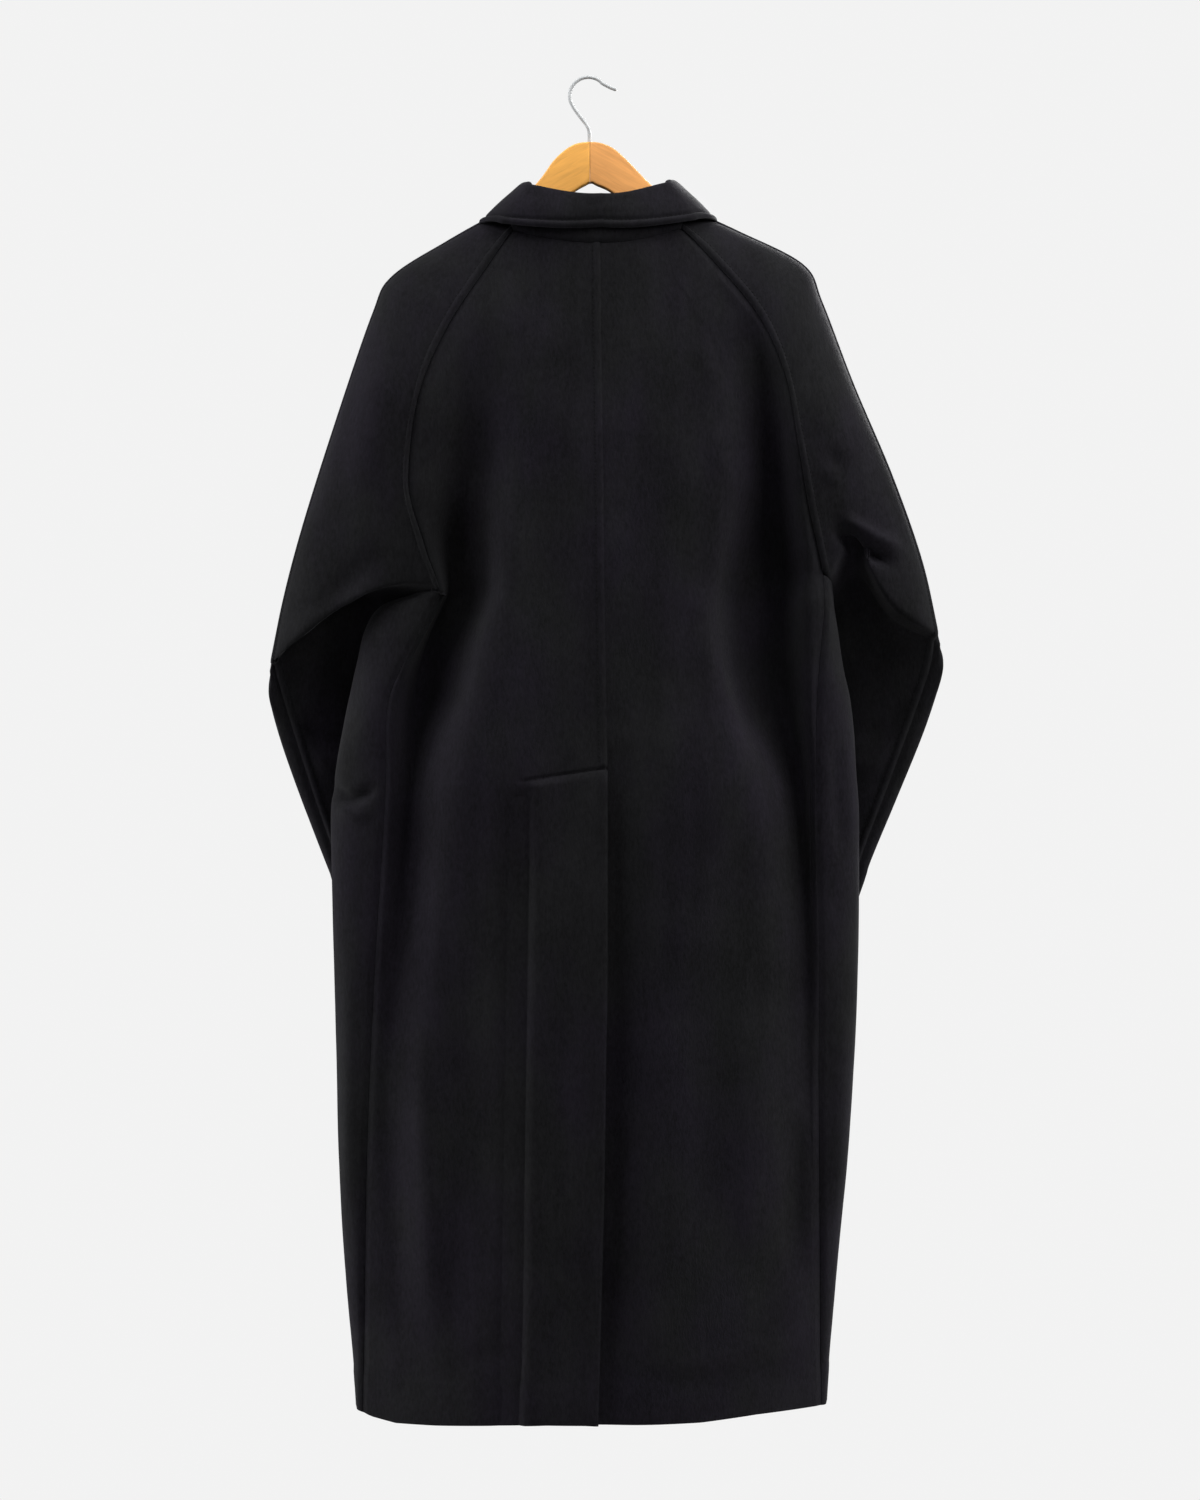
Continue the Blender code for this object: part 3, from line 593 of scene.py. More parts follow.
def set_out(lines):
    """Points on each of some lines, close together beside its two ends and even between them."""
    lengths = [run_length(line) for line in lines]
    count = int(max(length[-1] for length in lengths) / COLUMN_STEP)
    marks = np.array(EDGE_MARKS)
    rows = []
    for line, length in zip(lines, lengths):
        between = np.linspace(marks[-1], length[-1] - marks[-1], count + 2)[1:-1]
        wanted = np.concatenate([marks, between, length[-1] - marks[::-1]])
        rows.append(picked(line, length, wanted))
    return np.array(rows)


def woven(knots, joints, dense=()):
    """Fine rows through the knot lines, creased at the joints, with their places between the knots.

    The intervals named in dense are laid out as finely as the vent's tack needs.
    """
    grid, places = [], []
    for first, last in zip(joints[:-1], joints[1:]):
        block = knots[first:last + 1]
        gaps = np.linalg.norm(np.diff(block, axis=0), axis=2).mean(axis=1)
        at = []
        for index, gap in enumerate(gaps):
            step = TACK_ROW_STEP if first + index in dense else ROW_STEP
            count = max(2, round(gap / step))
            at.append(index + np.arange(count) / count)
        if last == joints[-1]:
            at.append([len(block) - 1.0])
        at = np.concatenate(at)
        grid.append(flowing(block, at))
        places.append(first + at)
    return np.concatenate(grid), np.concatenate(places)


def point_of(row, part):
    """Point of a row, from the three columns of one of its parts."""
    return tuple(getattr(row, f"{part}_{axis}") for axis in "xyz")


def body_sections(side):
    """Outer back seam, outer front seam and front edge of each body section, neck to hem."""
    sections = []
    for row in SHOULDER_ROWS[side][:-1]:
        front = point_of(row, "front")
        sections.append((point_of(row, "back"), front, front))
    underarm = point_of(SHOULDER_ROWS[side][-1], "back")
    sections.append((underarm, underarm, UNDERARM_EDGE[side]))
    for row in BODY_ROWS:
        seam_x, edge_x = (getattr(row, f"{SIDE_NAMES[side]}_{part}") for part in ("seam", "edge"))
        seam = (seam_x, row.seam_y, row.height)
        sections.append((seam, seam, (edge_x, EDGE_Y, row.height)))
    return sections


UNDERARM = len(CENTRE_BACK_HEIGHTS) - 1
HEM = UNDERARM + len(BODY_ROWS)
VENT_TOP = UNDERARM + 1 + VENT_TOP_ROW
CUFF = UNDERARM + len(FOREARM_ROWS[LEFT])


def side_fold(side, height, inset):
    """Depth of the deep side fold at a distance inside the outer seam."""
    rows = SIDE_FOLDS[side]
    past = inset - along(rows, "offset", height)
    reach = np.where(past < 0, along(rows, "reach_out", height), along(rows, "reach_in", height))
    wave = 0.5 + 0.5 * np.cos(np.pi * np.clip(past / reach, -1.0, 1.0))
    return along(rows, "depth", height) * wave


def back_lines(side):
    """Line of a back panel at each section, from the centre back out to the seam."""
    heights = CENTRE_BACK_HEIGHTS + tuple(row.height for row in BODY_ROWS)
    across = np.linspace(0.0, 1.0, LINE_STEPS)
    lines = []
    for centre_height, (seam, _, _) in zip(heights, body_sections(side)):
        centre_x = along(CENTRE_ROWS, "back_x", centre_height)
        centre_y = along(CENTRE_ROWS, "back_y", centre_height)
        x = centre_x + (seam[0] - centre_x) * across
        y = centre_y + (seam[1] - centre_y) * across ** 2
        z = centre_height + (seam[2] - centre_height) * across ** 2
        y = y + side_fold(side, seam[2], np.abs(seam[0] - x))
        lines.append(np.stack([x, y, z], axis=1))
    return lines


def back_grid(side):
    """Points of a back panel, columns from the centre back out, and their places between sections."""
    knots = set_out(back_lines(side))
    dense = (VENT_TOP - 1, VENT_TOP)
    turned, places = woven(knots, (0, UNDERARM, HEM), dense)
    smooth, _ = woven(knots, (0, HEM), dense)
    across = np.linspace(0.0, 1.0, knots.shape[1])[:, None]
    share = smooth_step((across - UNDERARM_TURN) / (1.0 - UNDERARM_TURN))
    return smooth + (turned - smooth) * share, places


def vented(right, left):
    """Right back lowered beside the vent, with the underlap set on before its first column."""
    reach = np.arange(VENT_UNDERLAP, 0.0, -COLUMN_STEP)
    grid, places = right
    below = smooth_step(places - VENT_TOP + 1.0)[:, None]
    ease = 1.0 - smooth_step((grid[:, :, 0] - grid[:, :1, 0]) / VENT_EASE)
    lowered = grid.copy()
    lowered[:, :, 1] += LAP_STEP * ease * below
    underlap = np.repeat(lowered[:, :1], len(reach), axis=1)
    under, under_places = left
    for index, place in enumerate(places):
        row = under[np.argmin(np.abs(under_places - place)), ::-1]
        x = underlap[index, :, 0] - reach
        underlap[index, :, 0] = x
        underlap[index, :, 1] = LAP_STEP + np.interp(x, row[:, 0], row[:, 1])
        underlap[index, :, 2] = np.interp(x, row[:, 0], row[:, 2])
    full = np.concatenate([underlap, lowered], axis=1)
    cells = np.ones((full.shape[0] - 1, full.shape[1] - 1), dtype=bool)
    cells[places[:-1] < VENT_TOP, :len(reach) - len(SEAM_ALLOWANCE)] = False
    return full, cells


def front_line(seam, edge, centre):
    """Line of a front panel from its outer seam round the body's edge to the centre front."""
    seam, edge, centre = (np.array(point, dtype=float) for point in (seam, edge, centre))
    turn = np.linspace(0.0, math.pi / 2, TURN_STEPS)[:, None]
    level, deep = np.array([1, 0, 1]), np.array([0, 1, 0])
    if np.allclose(seam, edge):
        share = np.sin(turn) ** 2
        bend_x = edge[0] + ARMHOLE_BEND * (centre[0] - edge[0])
        bend = np.array([bend_x, centre[1] + ARMHOLE_RISE, edge[2]])
        return (1 - share) ** 2 * edge + 2 * share * (1 - share) * bend + share ** 2 * centre
    power = 2.0 / FRONT_SQUARENESS
    outward = seam + (edge - seam) * (level * np.sin(turn) + deep * (1.0 - np.cos(turn)))
    rise = np.maximum(np.cos(turn), 0.0) ** power
    inward = edge + (centre - edge) * (level * (1.0 - rise) + deep * np.sin(turn) ** power)
    return np.concatenate([outward, inward[1:]])


def front_lines(side):
    """Line of a front panel at each section, from its outer seam to past the centre front."""
    heights = CENTRE_FRONT_HEIGHTS + tuple(row.height for row in BODY_ROWS)
    lines = []
    for height, (_, seam, edge) in zip(heights, body_sections(side)):
        centre = np.array([CENTRE_FRONT_X, along(CENTRE_ROWS, "front_y", height), height])
        past = np.linspace(0.0, FRONT_LAP, LAP_STEPS)[1:, None]
        lap = centre - side * past * np.array([1, 0, 0])
        line = np.concatenate([front_line(seam, edge, centre), lap])
        if side == LEFT:
            start = CENTRE_FRONT_X - FRONT_LAP - LAP_CLEAR - LAP_EASE
            line[:, 1] += LAP_STEP * smooth_step((line[:, 0] - start) / LAP_EASE)
        lines.append(line)
    return lines


def front_grid(side):
    """Points of a front panel, columns from its outer seam to its front edge."""
    return woven(set_out(front_lines(side)), (0, UNDERARM, HEM))[0]


def sleeve_line(inner, edge, turn, swell, arch, shape):
    """Line across a sleeve half from its inner seam to the outer edge of the arm."""
    inner, edge = np.array(inner, dtype=float), np.array(edge, dtype=float)
    start = math.radians(turn)
    angle = np.linspace(start, math.pi / 2, LINE_STEPS)
    share = (np.sin(angle) - math.sin(start)) / (1.0 - math.sin(start))
    share = np.clip(share, 0.0, 1.0)
    line = inner + (edge - inner) * share[:, None]
    line[:, 1] += swell * (np.cos(angle) - math.cos(start) * (1.0 - share))
    line[:, 2] += arch * np.abs(np.sin(math.pi * share ** shape.skew)) ** shape.sharpness
    return line


def parted(back, front, shift):
    """Both halves of a sleeve section, with the overarm seam shifted on to the back of the arm."""
    if shift == 0:
        return back, front
    ring = np.concatenate([back, front[-2::-1]])
    length = run_length(ring)
    at = run_length(back)[-1] - shift
    seam = picked(ring, length, [at])
    return np.concatenate([ring[length < at], seam]), np.concatenate([seam, ring[length > at]])[::-1]


def sleeve_lines(side):
    """Lines of the back and the front half of a sleeve at each section, neck to cuff."""
    sections = [(row, point_of(row, "back"), point_of(row, "front"), (row.edge_x, 0, row.edge_z), 0,
                 row.front_turn) for row in SHOULDER_ROWS[side]]
    for row in FOREARM_ROWS[side]:
        seam = point_of(row, "seam")
        sections.append((row, seam, seam, point_of(row, "edge"), FULL_TURN, FULL_TURN))
    halves = []
    for (row, back_seam, front_seam, edge, back_turn, front_turn), shift in zip(sections, SEAM_SHIFT):
        back = sleeve_line(back_seam, edge, back_turn, -row.back_swell, row.back_arch, ARCHES[side])
        front = sleeve_line(front_seam, edge, front_turn, row.front_swell, row.front_arch, FRONT_ARCH)
        halves.append(parted(back, front, shift))
    return zip(*halves)


def sleeve_grid(lines):
    """Points of a sleeve half, columns from its inner seam to the overarm seam."""
    grid, places = woven(set_out(lines), (0, UNDERARM, UNDERARM + 1, CUFF))
    near = np.exp(-((places - UNDERARM) / FOLD_SOFTNESS) ** 2)[:, None, None]
    for _ in range(FOLD_PASSES):
        eased = grid.copy()
        eased[1:-1] = 0.25 * grid[:-2] + 0.5 * grid[1:-1] + 0.25 * grid[2:]
        grid = grid + near * (eased - grid)
    return grid, places


def half_neck(side):
    """Neck edge of one half from centre back to centre front, with each point's collar station."""
    back, front = sleeve_lines(side)
    neckline = front_lines(side)[0]
    stretches = (back_lines(side)[0], back[0], front[0][::-1], neckline[:1 - LAP_STEPS])
    points, stations = [], []
    for index, stretch in enumerate(stretches):
        length = run_length(stretch)
        count = max(4, round(length[-1] / COLLAR_STEP))
        share = np.linspace(0.0, 1.0, count + 1)
        keep = count + 1 if index == len(stretches) - 1 else count
        points.append(picked(stretch, length, share * length[-1])[:keep])
        stations.append(index + share[:keep])
    return np.concatenate(points), np.concatenate(stations)


def collar_grids():
    """Points of the stand and the fall, columns from the left front end round the neck to the right."""
    halves = []
    for side, order in ((LEFT, slice(None, None, -1)), (RIGHT, slice(1, None))):
        neck, station = half_neck(side)
        offsets = flowing(COLLAR_STATIONS[side], station)
        top = neck + offsets[:, :3]
        halves.append([line[order] for line in (neck, top, top + offsets[:, 3:])])
    neck, top, edge = (np.concatenate(lines) for lines in zip(*halves))
    up = np.array([0.0, 0.0, 1.0])
    share = np.linspace(0.0, 1.0, STAND_ROWS)[:, None, None]
    stand = neck + SEAM_GAP * up + (top - neck - SEAM_GAP * up) * share
    outward = normals_of(stand, 1)[-1]
    outward[:, 2] = 0.0
    outward = unit(outward)
    stand = stand + STAND_BOW * np.sin(math.pi * np.sqrt(share)) * outward
    sunk = [neck - row.past * up - row.inward * outward for row in NECK_ALLOWANCE]
    inside = top - WALL * outward + FALL_SEAT * up
    profile = [inside + FOLD_REACH * row.out * outward + FOLD_HEIGHT * row.rise * up for row in FALL_PROFILE]
    bend = profile[-1]
    for reach in FALL_REACHES:
        bow = FALL_BOW * math.sin(math.pi * reach)
        profile.append(bend + (edge - bend) * reach + bow * outward)
    fine = flowing(profile, np.linspace(0, len(profile) - 1, LINE_STEPS))
    fall = set_out(np.swapaxes(fine, 0, 1))
    return np.concatenate([sunk, stand]), np.swapaxes(fall, 0, 1)


def normals_of(grid, turn):
    """Unit normals of a grid's points, on the cloth's outer side."""
    return unit(turn * np.cross(np.gradient(grid, axis=1), np.gradient(grid, axis=0)))


def edge_distances(grid):
    """Distance along the cloth of each point from the four edges of its grid."""
    across = np.cumsum(np.linalg.norm(np.diff(grid, axis=1, prepend=grid[:, :1]), axis=2), axis=1)
    down = np.cumsum(np.linalg.norm(np.diff(grid, axis=0, prepend=grid[:1]), axis=2), axis=0)
    return {"start": across, "end": across[:, -1:] - across, "top": down, "bottom": down[-1:] - down}


def from_path(path, x, z):
    """Distance of points from a path given as x and height, and their place along it from 0 to 1."""
    path = flowing(path, np.linspace(0, len(path) - 1, PATH_STEPS * len(path)))
    lengths = np.linalg.norm(np.diff(path, axis=0), axis=1)
    nearest = np.full(x.shape, np.inf)
    place = np.zeros(x.shape)
    run = 0.0
    for start, end, length in zip(path[:-1], path[1:], lengths):
        step = (end - start) / length
        reach = np.clip((x - start[0]) * step[0] + (z - start[1]) * step[1], 0.0, length)
        gap = np.hypot(x - start[0] - reach * step[0], z - start[1] - reach * step[1])
        closer = gap < nearest
        nearest = np.where(closer, gap, nearest)
        place = np.where(closer, (run + reach) / lengths.sum(), place)
        run += length
    return nearest, place


def hung(grid):
    """Grid with the hem's uneven fall."""
    x, rise = zip(*HEM_FALL)
    near = smooth_step((HEM_FALL_TOP - grid[..., 2]) / (HEM_FALL_TOP - BODY_ROWS[-1].height))
    lowered = grid.copy()
    lowered[..., 2] += np.interp(grid[..., 0], x, rise) * near
    return lowered


def creased(name, grid, turn, held):
    """Grid with its panel's creases, which die out towards the edges that are sewn to other cloth."""
    normals = normals_of(grid, turn)
    height = np.zeros(grid.shape[:2])
    for faces in (BACK, FRONT):
        facing = smooth_step(0.5 + FACING_SHARPNESS * faces * normals[..., 1])
        for crease in CREASES.get((name, faces), ()):
            gap, place = from_path(crease.path, grid[..., 0], grid[..., 2])
            fade = smooth_step(CREASE_FADE * np.minimum(place, 1.0 - place))
            height += crease.height * fade * facing * np.exp(-(gap / crease.width) ** 2)
    distances = edge_distances(grid)
    for edge in held:
        height *= smooth_step(distances[edge] / CREASE_CLEAR)
    return grid + height[..., None] * normals


def vent_marks(grid):
    """Height of the left back over the hidden underlap, with the tack's row of stitches sunk in."""
    x, z = grid[..., 0], grid[..., 2]
    line = np.array(UNDERLAP_EDGE[::-1])
    past = x - np.interp(z, line[:, 1], line[:, 0])
    tack = np.array(VENT_TACK[::-1])
    below = np.interp(x, tack[:, 0], tack[:, 1]) - z
    slant = 1.0 - UNDERLAP_THINNING * np.clip(past / UNDERLAP_WIDTH, 0.0, 1.0)
    step = UNDERLAP_STEP * slant * smooth_step(past / UNDERLAP_SLOPE) * smooth_step(below / UNDERLAP_SLOPE)
    dip = UNDERLAP_DIP * np.exp(-((past + UNDERLAP_SLOPE) / DIP_WIDTH) ** 2) * smooth_step(below / DIP_EASE)
    gap, _ = from_path(VENT_TACK, x, z)
    edge = grid[:, :1]
    beside = np.linalg.norm(grid - edge, axis=2)
    vent = smooth_step((VENT_TACK[0][1] - edge[..., 2]) / VENT_EDGE_REACH)
    lift = VENT_EDGE_LIFT * vent * (1.0 - smooth_step(beside / VENT_EDGE_REACH))
    return lift + step - dip - TACK_DENT * np.exp(-(gap / TACK_WIDTH) ** 2)


def lines_of_edge(edge, *layers):
    """Layers of a grid turned so that each row runs in from the edge."""
    if edge in ("top", "bottom"):
        layers = [np.swapaxes(layer, 0, 1) for layer in layers]
    if edge in ("end", "bottom"):
        layers = [layer[:, ::-1] for layer in layers]
    return layers


def stitch_path(edge, outer, normals, distance, band, sewn):
    """Points and normals of a row of stitches that follows an edge at the band's width."""
    outer, normals, distance = lines_of_edge(edge, outer, normals, distance)
    points, ups = [], []
    for row in np.nonzero(sewn)[0]:
        points.append(picked(outer[row], distance[row], [band])[0])
        ups.append(picked(normals[row], distance[row], [band])[0])
    return np.array(points), unit(np.array(ups))


def tack_path(outer, normals):
    """Points and normals of the slanting row of stitches at the vent's top."""
    points, ups = [], []
    for x, z in flowing(VENT_TACK, np.linspace(0, len(VENT_TACK) - 1, TACK_STEPS)):
        away = np.hypot(outer[..., 0] - x, outer[..., 2] - z)
        spot = np.unravel_index(np.argmin(away), away.shape)
        points.append((x, outer[spot][1], z))
        ups.append(normals[spot])
    return np.array(points), np.array(ups)


def round_turn(sides):
    """Angles of even corners round a full turn, one to a row."""
    return np.linspace(0.0, 2.0 * math.pi, sides, endpoint=False)[:, None]


def lofted(rings, turned=False, closed=False):
    """Vertices and faces of a skin through rings of points, its ends capped or joined in a loop."""
    sides = len(rings[0])
    faces = []
    for ring in range(len(rings) if closed else len(rings) - 1):
        here, there = ring * sides, (ring + 1) % len(rings) * sides
        for corner in range(sides):
            after = (corner + 1) % sides
            loop = (here + corner, here + after, there + after, there + corner)
            faces.append((loop[0], *loop[:0:-1]) if turned else loop)
    if not closed:
        first, last = range(sides), range((len(rings) - 1) * sides, len(rings) * sides)
        faces += map(tuple, (first, last[::-1]) if turned else (first[::-1], last))
    return np.concatenate(rings), faces


def joined(parts):
    """One list of vertices and faces from several."""
    vertices, faces, first = [], [], 0
    for points, loops in parts:
        vertices.append(points)
        faces += [tuple(corner + first for corner in loop) for loop in loops]
        first += len(points)
    return np.concatenate(vertices), faces


def stitches(paths):
    """Vertices and faces of the stitches along some rows."""
    turns = round_turn(STITCH_SIDES)
    size = settings().stitch_length / MM
    sewn = []
    for points, ups in paths:
        length = run_length(points)
        for middle in np.arange(STITCH_PITCH, length[-1] - STITCH_PITCH, STITCH_PITCH):
            start, centre, end = picked(points, length, [middle - size / 2, middle, middle + size / 2])
            up = picked(ups, length, [middle])[0]
            ahead = unit(end - start)
            around = up * np.cos(turns) + unit(np.cross(ahead, up)) * np.sin(turns)
            sewn.append(lofted([centre + ahead * ring.place * size + up * ring.lift + ring.radius * around
                                for ring in STITCH_RINGS]))
    return joined(sewn)


def let_under(outer, inner, cells, normals, edge):
    """Layers and cells of a panel with a seam allowance past one edge, sunk under the neighbour."""
    at, inside = (0, 2) if edge == "start" else (-1, -3)
    ahead = unit(outer[:, at] - outer[:, inside])
    layers = []
    for layer in (outer, inner):
        strip = [layer[:, at] + row.past * ahead - row.inward * normals[:, at] for row in SEAM_ALLOWANCE]
        strip = np.stack(strip[::-1] if edge == "start" else strip, axis=1)
        layers.append(np.concatenate([strip, layer] if edge == "start" else [layer, strip], axis=1))
    more = (len(SEAM_ALLOWANCE), 0) if edge == "start" else (0, len(SEAM_ALLOWANCE))
    return (*layers, np.pad(cells, ((0, 0), more), constant_values=True))


def shell(outer, inner, cells, turn):
    """Vertices and faces of a closed wall between two layers of points, where its cells are cloth."""
    rows, columns = outer.shape[:2]
    index = np.arange(rows * columns).reshape(rows, columns)
    ring = (index[:-1, :-1], index[1:, :-1], index[1:, 1:], index[:-1, 1:])
    quads = np.stack(ring[::-turn], axis=-1)
    quads = quads[cells]
    edges = np.concatenate([quads[:, (corner, (corner + 1) % 4)] for corner in range(4)])
    known = set(map(tuple, edges))
    rim = np.array([edge for edge in map(tuple, edges) if edge[::-1] not in known])
    count = rows * columns
    sides = np.stack([rim[:, 1], rim[:, 0], rim[:, 0] + count, rim[:, 1] + count], axis=1)
    faces = np.concatenate([quads, quads[:, ::-1] + count, sides])
    vertices = np.concatenate([outer.reshape(-1, 3), inner.reshape(-1, 3)])
    used, faces = np.unique(faces, return_inverse=True)
    return vertices[used], faces.reshape(-1, 4).tolist()


def linked(name, data):
    """New object of some data, put into the scene."""
    thing = bpy.data.objects.new(name, data)
    bpy.context.scene.collection.objects.link(thing)
    return thing


def smooth_mesh(name, vertices, faces, finish):
    """New object of vertices in metres and faces, shaded smooth up to sharp edges."""
    mesh = bpy.data.meshes.new(name)
    mesh.from_pydata(vertices.tolist(), [], faces)
    mesh.update()
    mesh.shade_smooth()
    mesh.set_sharp_from_angle(angle=SHARP_ANGLE)
    mesh.materials.append(finish)
    return linked(name, mesh)


def place_piece(name, form, finish, node=None):
    """Put a form given in millimetres into the scene, riding on the coat's body."""
    vertices, faces = form
    piece = smooth_mesh(name, vertices * MM, faces, finish)
    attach(piece, BODY)
    if node is not None:
        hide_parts(node)
    return piece


def sew(name, grid, turn, finishes, cells=None, lap_rows=None, marks=None, tacks=None):
    """Panel of cloth with its creases, seams and stitches.

    Finishes are those of the four edges. Lap rows say how far the start edge is lapped at each row.
    """
    edges = dict(zip(EDGE_NAMES, finishes))
    held = [edge for edge, kind in edges.items() if kind in ("lapped", "tucked")]
    grid = creased(name, hung(grid), turn, held)
    normals = normals_of(grid, turn)
    distances = edge_distances(grid)
    height = np.zeros(grid.shape[:2]) if marks is None else marks(grid)
    roll = np.zeros(grid.shape[:2])
    rise = settings().seam_rise / (SEAM_RISE * MM)
    for edge, kind in edges.items():
        form, distance = EDGES[kind], distances[edge]
        band = form.rise * (1.0 - smooth_step((distance - form.band) / form.slope))
        dent = form.dent * np.exp(-((distance - form.band) / DENT_WIDTH) ** 2)
        share = lap_rows[:, None] if edge == "start" and lap_rows is not None else 1.0
        height += rise * share * (band - dent)
        roll = np.maximum(roll, form.roll * (1.0 - smooth_step(distance / ROLL_REACH)))
    outer = grid + (height - roll)[..., None] * normals
    inner = grid - (settings().wall / MM - INNER_ROLL * roll)[..., None] * normals
    if cells is None:
        cells = np.ones((grid.shape[0] - 1, grid.shape[1] - 1), dtype=bool)
    whole = (outer, inner, cells)
    for edge in ("start", "end"):
        if edges[edge] == "tucked":
            whole = let_under(*whole, normals, edge)
    panel = place_piece(name + "_cloth", shell(*whole, turn), wool(), name)
    paths = [] if tacks is None else [tacks(outer, normals)]
    for edge, kind in edges.items():
        if EDGES[kind].stitched:
            rows = np.ones(grid.shape[0 if edge in ("start", "end") else 1], dtype=bool)
            if edge == "start" and lap_rows is not None:
                rows = lap_rows > 0.5
            paths.append(stitch_path(edge, outer, normals, distances[edge], EDGES[kind].band, rows))
    if paths:
        place_piece(name + "_stitches", stitches(paths), yarn())


class Grade:
    """A number that varies over a surface. Sums on it add Math nodes to its finish."""

    def __init__(self, finish, socket):
        self.finish = finish
        self.socket = socket

    def maths(self, operation, first, second):
        node = self.finish.node("ShaderNodeMath", {"operation": operation}, {0: first, 1: second})
        return Grade(self.finish, node.outputs[0])

    def __add__(self, other):
        return self.maths("ADD", self, other)

    def __radd__(self, other):
        return self.maths("ADD", other, self)

    def __sub__(self, other):
        return self.maths("SUBTRACT", self, other)

    def __rsub__(self, other):
        return self.maths("SUBTRACT", other, self)

    def __mul__(self, other):
        return self.maths("MULTIPLY", self, other)

    def __rmul__(self, other):
        return self.maths("MULTIPLY", other, self)

    def above(self, limit):
        return self.maths("GREATER_THAN", self, limit)


class Finish:
    """Procedural material of one finish, built round its Principled shader."""

    def __init__(self, name):
        self.material = bpy.data.materials.new(name)
        self.material.use_nodes = True
        self.tree = self.material.node_tree
        self.shader = self.tree.nodes["Principled BSDF"]

    def feed(self, socket, value):
        """Link a socket to what varies, or set it to a plain value."""
        source = value.socket if isinstance(value, Grade) else value
        if isinstance(source, bpy.types.NodeSocket):
            self.tree.links.new(source, socket)
        else:
            socket.default_value = source

    def node(self, kind, options, sockets):
        """Node of a kind with its options set first, then the values or links of its sockets."""
        made = self.tree.nodes.new(kind)
        for name, value in options.items():
            setattr(made, name, value)
        for key, value in sockets.items():
            self.feed(made.inputs[key], value)
        return made

    def surface(self, **sockets):
        """Values or links of the shader's sockets, named with low lines for spaces."""
        for name, value in sockets.items():
            self.feed(self.shader.inputs[name.replace("_", " ")], value)
        return self.material

    def place(self, stretch=(1, 1, 1), turn=(0, 0, 0)):
        """Place on the object, stretched and turned."""
        where = self.node("ShaderNodeTexCoord", {}, {})
        shift = {"Vector": where.outputs["Object"], "Rotation": turn, "Scale": stretch}
        return self.node("ShaderNodeMapping", {"vector_type": "TEXTURE"}, shift).outputs[0]

    def noise(self, place, scale, detail=2.0, rough=0.5, warp=0.0):
        """Cloudy grade about a half, its scale in clouds to the metre."""
        sockets = {"Vector": place, "Scale": scale, "Detail": detail, "Roughness": rough,
                   "Distortion": warp}
        return Grade(self, self.node("ShaderNodeTexNoise", {}, sockets).outputs["Fac"])

    def ramp(self, grade, low, high, start=0.0, end=1.0):
        """Grade brought from low and high to a start and an end."""
        sockets = {"Value": grade, "From Min": low, "From Max": high, "To Min": start, "To Max": end}
        return Grade(self, self.node("ShaderNodeMapRange", {"clamp": True}, sockets).outputs[0])

    def mix(self, share, first, second):
        """Colour between two colours."""
        node = self.node("ShaderNodeMix", {"data_type": "RGBA"}, {0: share})
        self.feed(node.inputs[6], first)
        self.feed(node.inputs[7], second)
        return node.outputs[2]

    def tones(self, share, colour, dark, light):
        """Colour between a darker and a lighter tone of one colour."""
        return self.mix(share, shade(colour, dark), shade(colour, light))

    def bump(self, height, depth):
        """Normal of a surface whose height grade stands for a depth in metres."""
        sockets = {"Height": height, "Distance": depth, "Strength": 1.0}
        return self.node("ShaderNodeBump", {}, sockets).outputs["Normal"]


def shade(colour, factor):
    """Colour made lighter or darker."""
    return (*(min(1.0, part * factor) for part in colour[:3]), 1.0)


def made_once(name):
    """Turn a recipe into a function that gives the material of that name, made the first time."""
    def wrap(recipe):
        def material():
            return bpy.data.materials.get(name) or recipe(Finish(name))
        return material
    return wrap


@made_once("black_wool")
def wool(finish):
    """Black fulled wool with a short nap brushed downwards, cloudy in tone and hue."""
    chosen = settings()
    clouds = finish.noise(finish.place(), 13, 3.0, 0.55)
    streaks = finish.noise(finish.place((1, 1, 7)), 34, 3.0, 0.55)
    felt = finish.noise(finish.place((1, 1, 2.6)), 420, 4.0, 0.62, 0.4)
    fibres = finish.noise(finish.place((1, 1, 4.5), (0.25, 0, 0.2)), 1500, 2.0, 0.6, 0.6)
    fine = finish.ramp(felt * 0.6 + fibres * 0.4, 0.36, 0.64)
    broad = finish.ramp(clouds * 0.45 + streaks * 0.55, 0.36, 0.64)
    tone = fine * 0.6 + broad * 0.4
    dyes = [finish.tones(tone, dye, 0.3, 1.7) for dye in (chosen.wool_colour, chosen.wool_tint)]
    patches = finish.ramp(finish.noise(finish.place((1, 1, 1.8)), 8, 4.0, 0.6), 0.4, 0.6)
    worn = finish.ramp(felt * 0.5 + clouds * 0.5, 0.3, 0.7, 0.95, 0.82)
    nap = finish.bump(felt * 0.7 + fibres * 0.3, 0.00035)
    return finish.surface(Base_Color=finish.mix(patches, *dyes), Roughness=worn, Normal=nap,
                          Specular_IOR_Level=0.07, Sheen_Weight=0.024, Sheen_Roughness=0.45,
                          Sheen_Tint=(0.9, 0.9, 0.96, 1.0))


@made_once("black_thread")
def yarn(finish):
    """Twisted thread of the stitches, in the wool's colour."""
    twist = finish.noise(finish.place((1, 1, 1), (0.6, 0.3, 0.4)), 2600, 2.0)
    tone = finish.tones(finish.ramp(twist, 0.35, 0.65), settings().wool_colour, 0.5, 1.2)
    return finish.surface(Base_Color=tone, Roughness=finish.ramp(twist, 0.3, 0.7, 0.95, 0.85),
                          Normal=finish.bump(twist, 0.00012), Specular_IOR_Level=0.08)


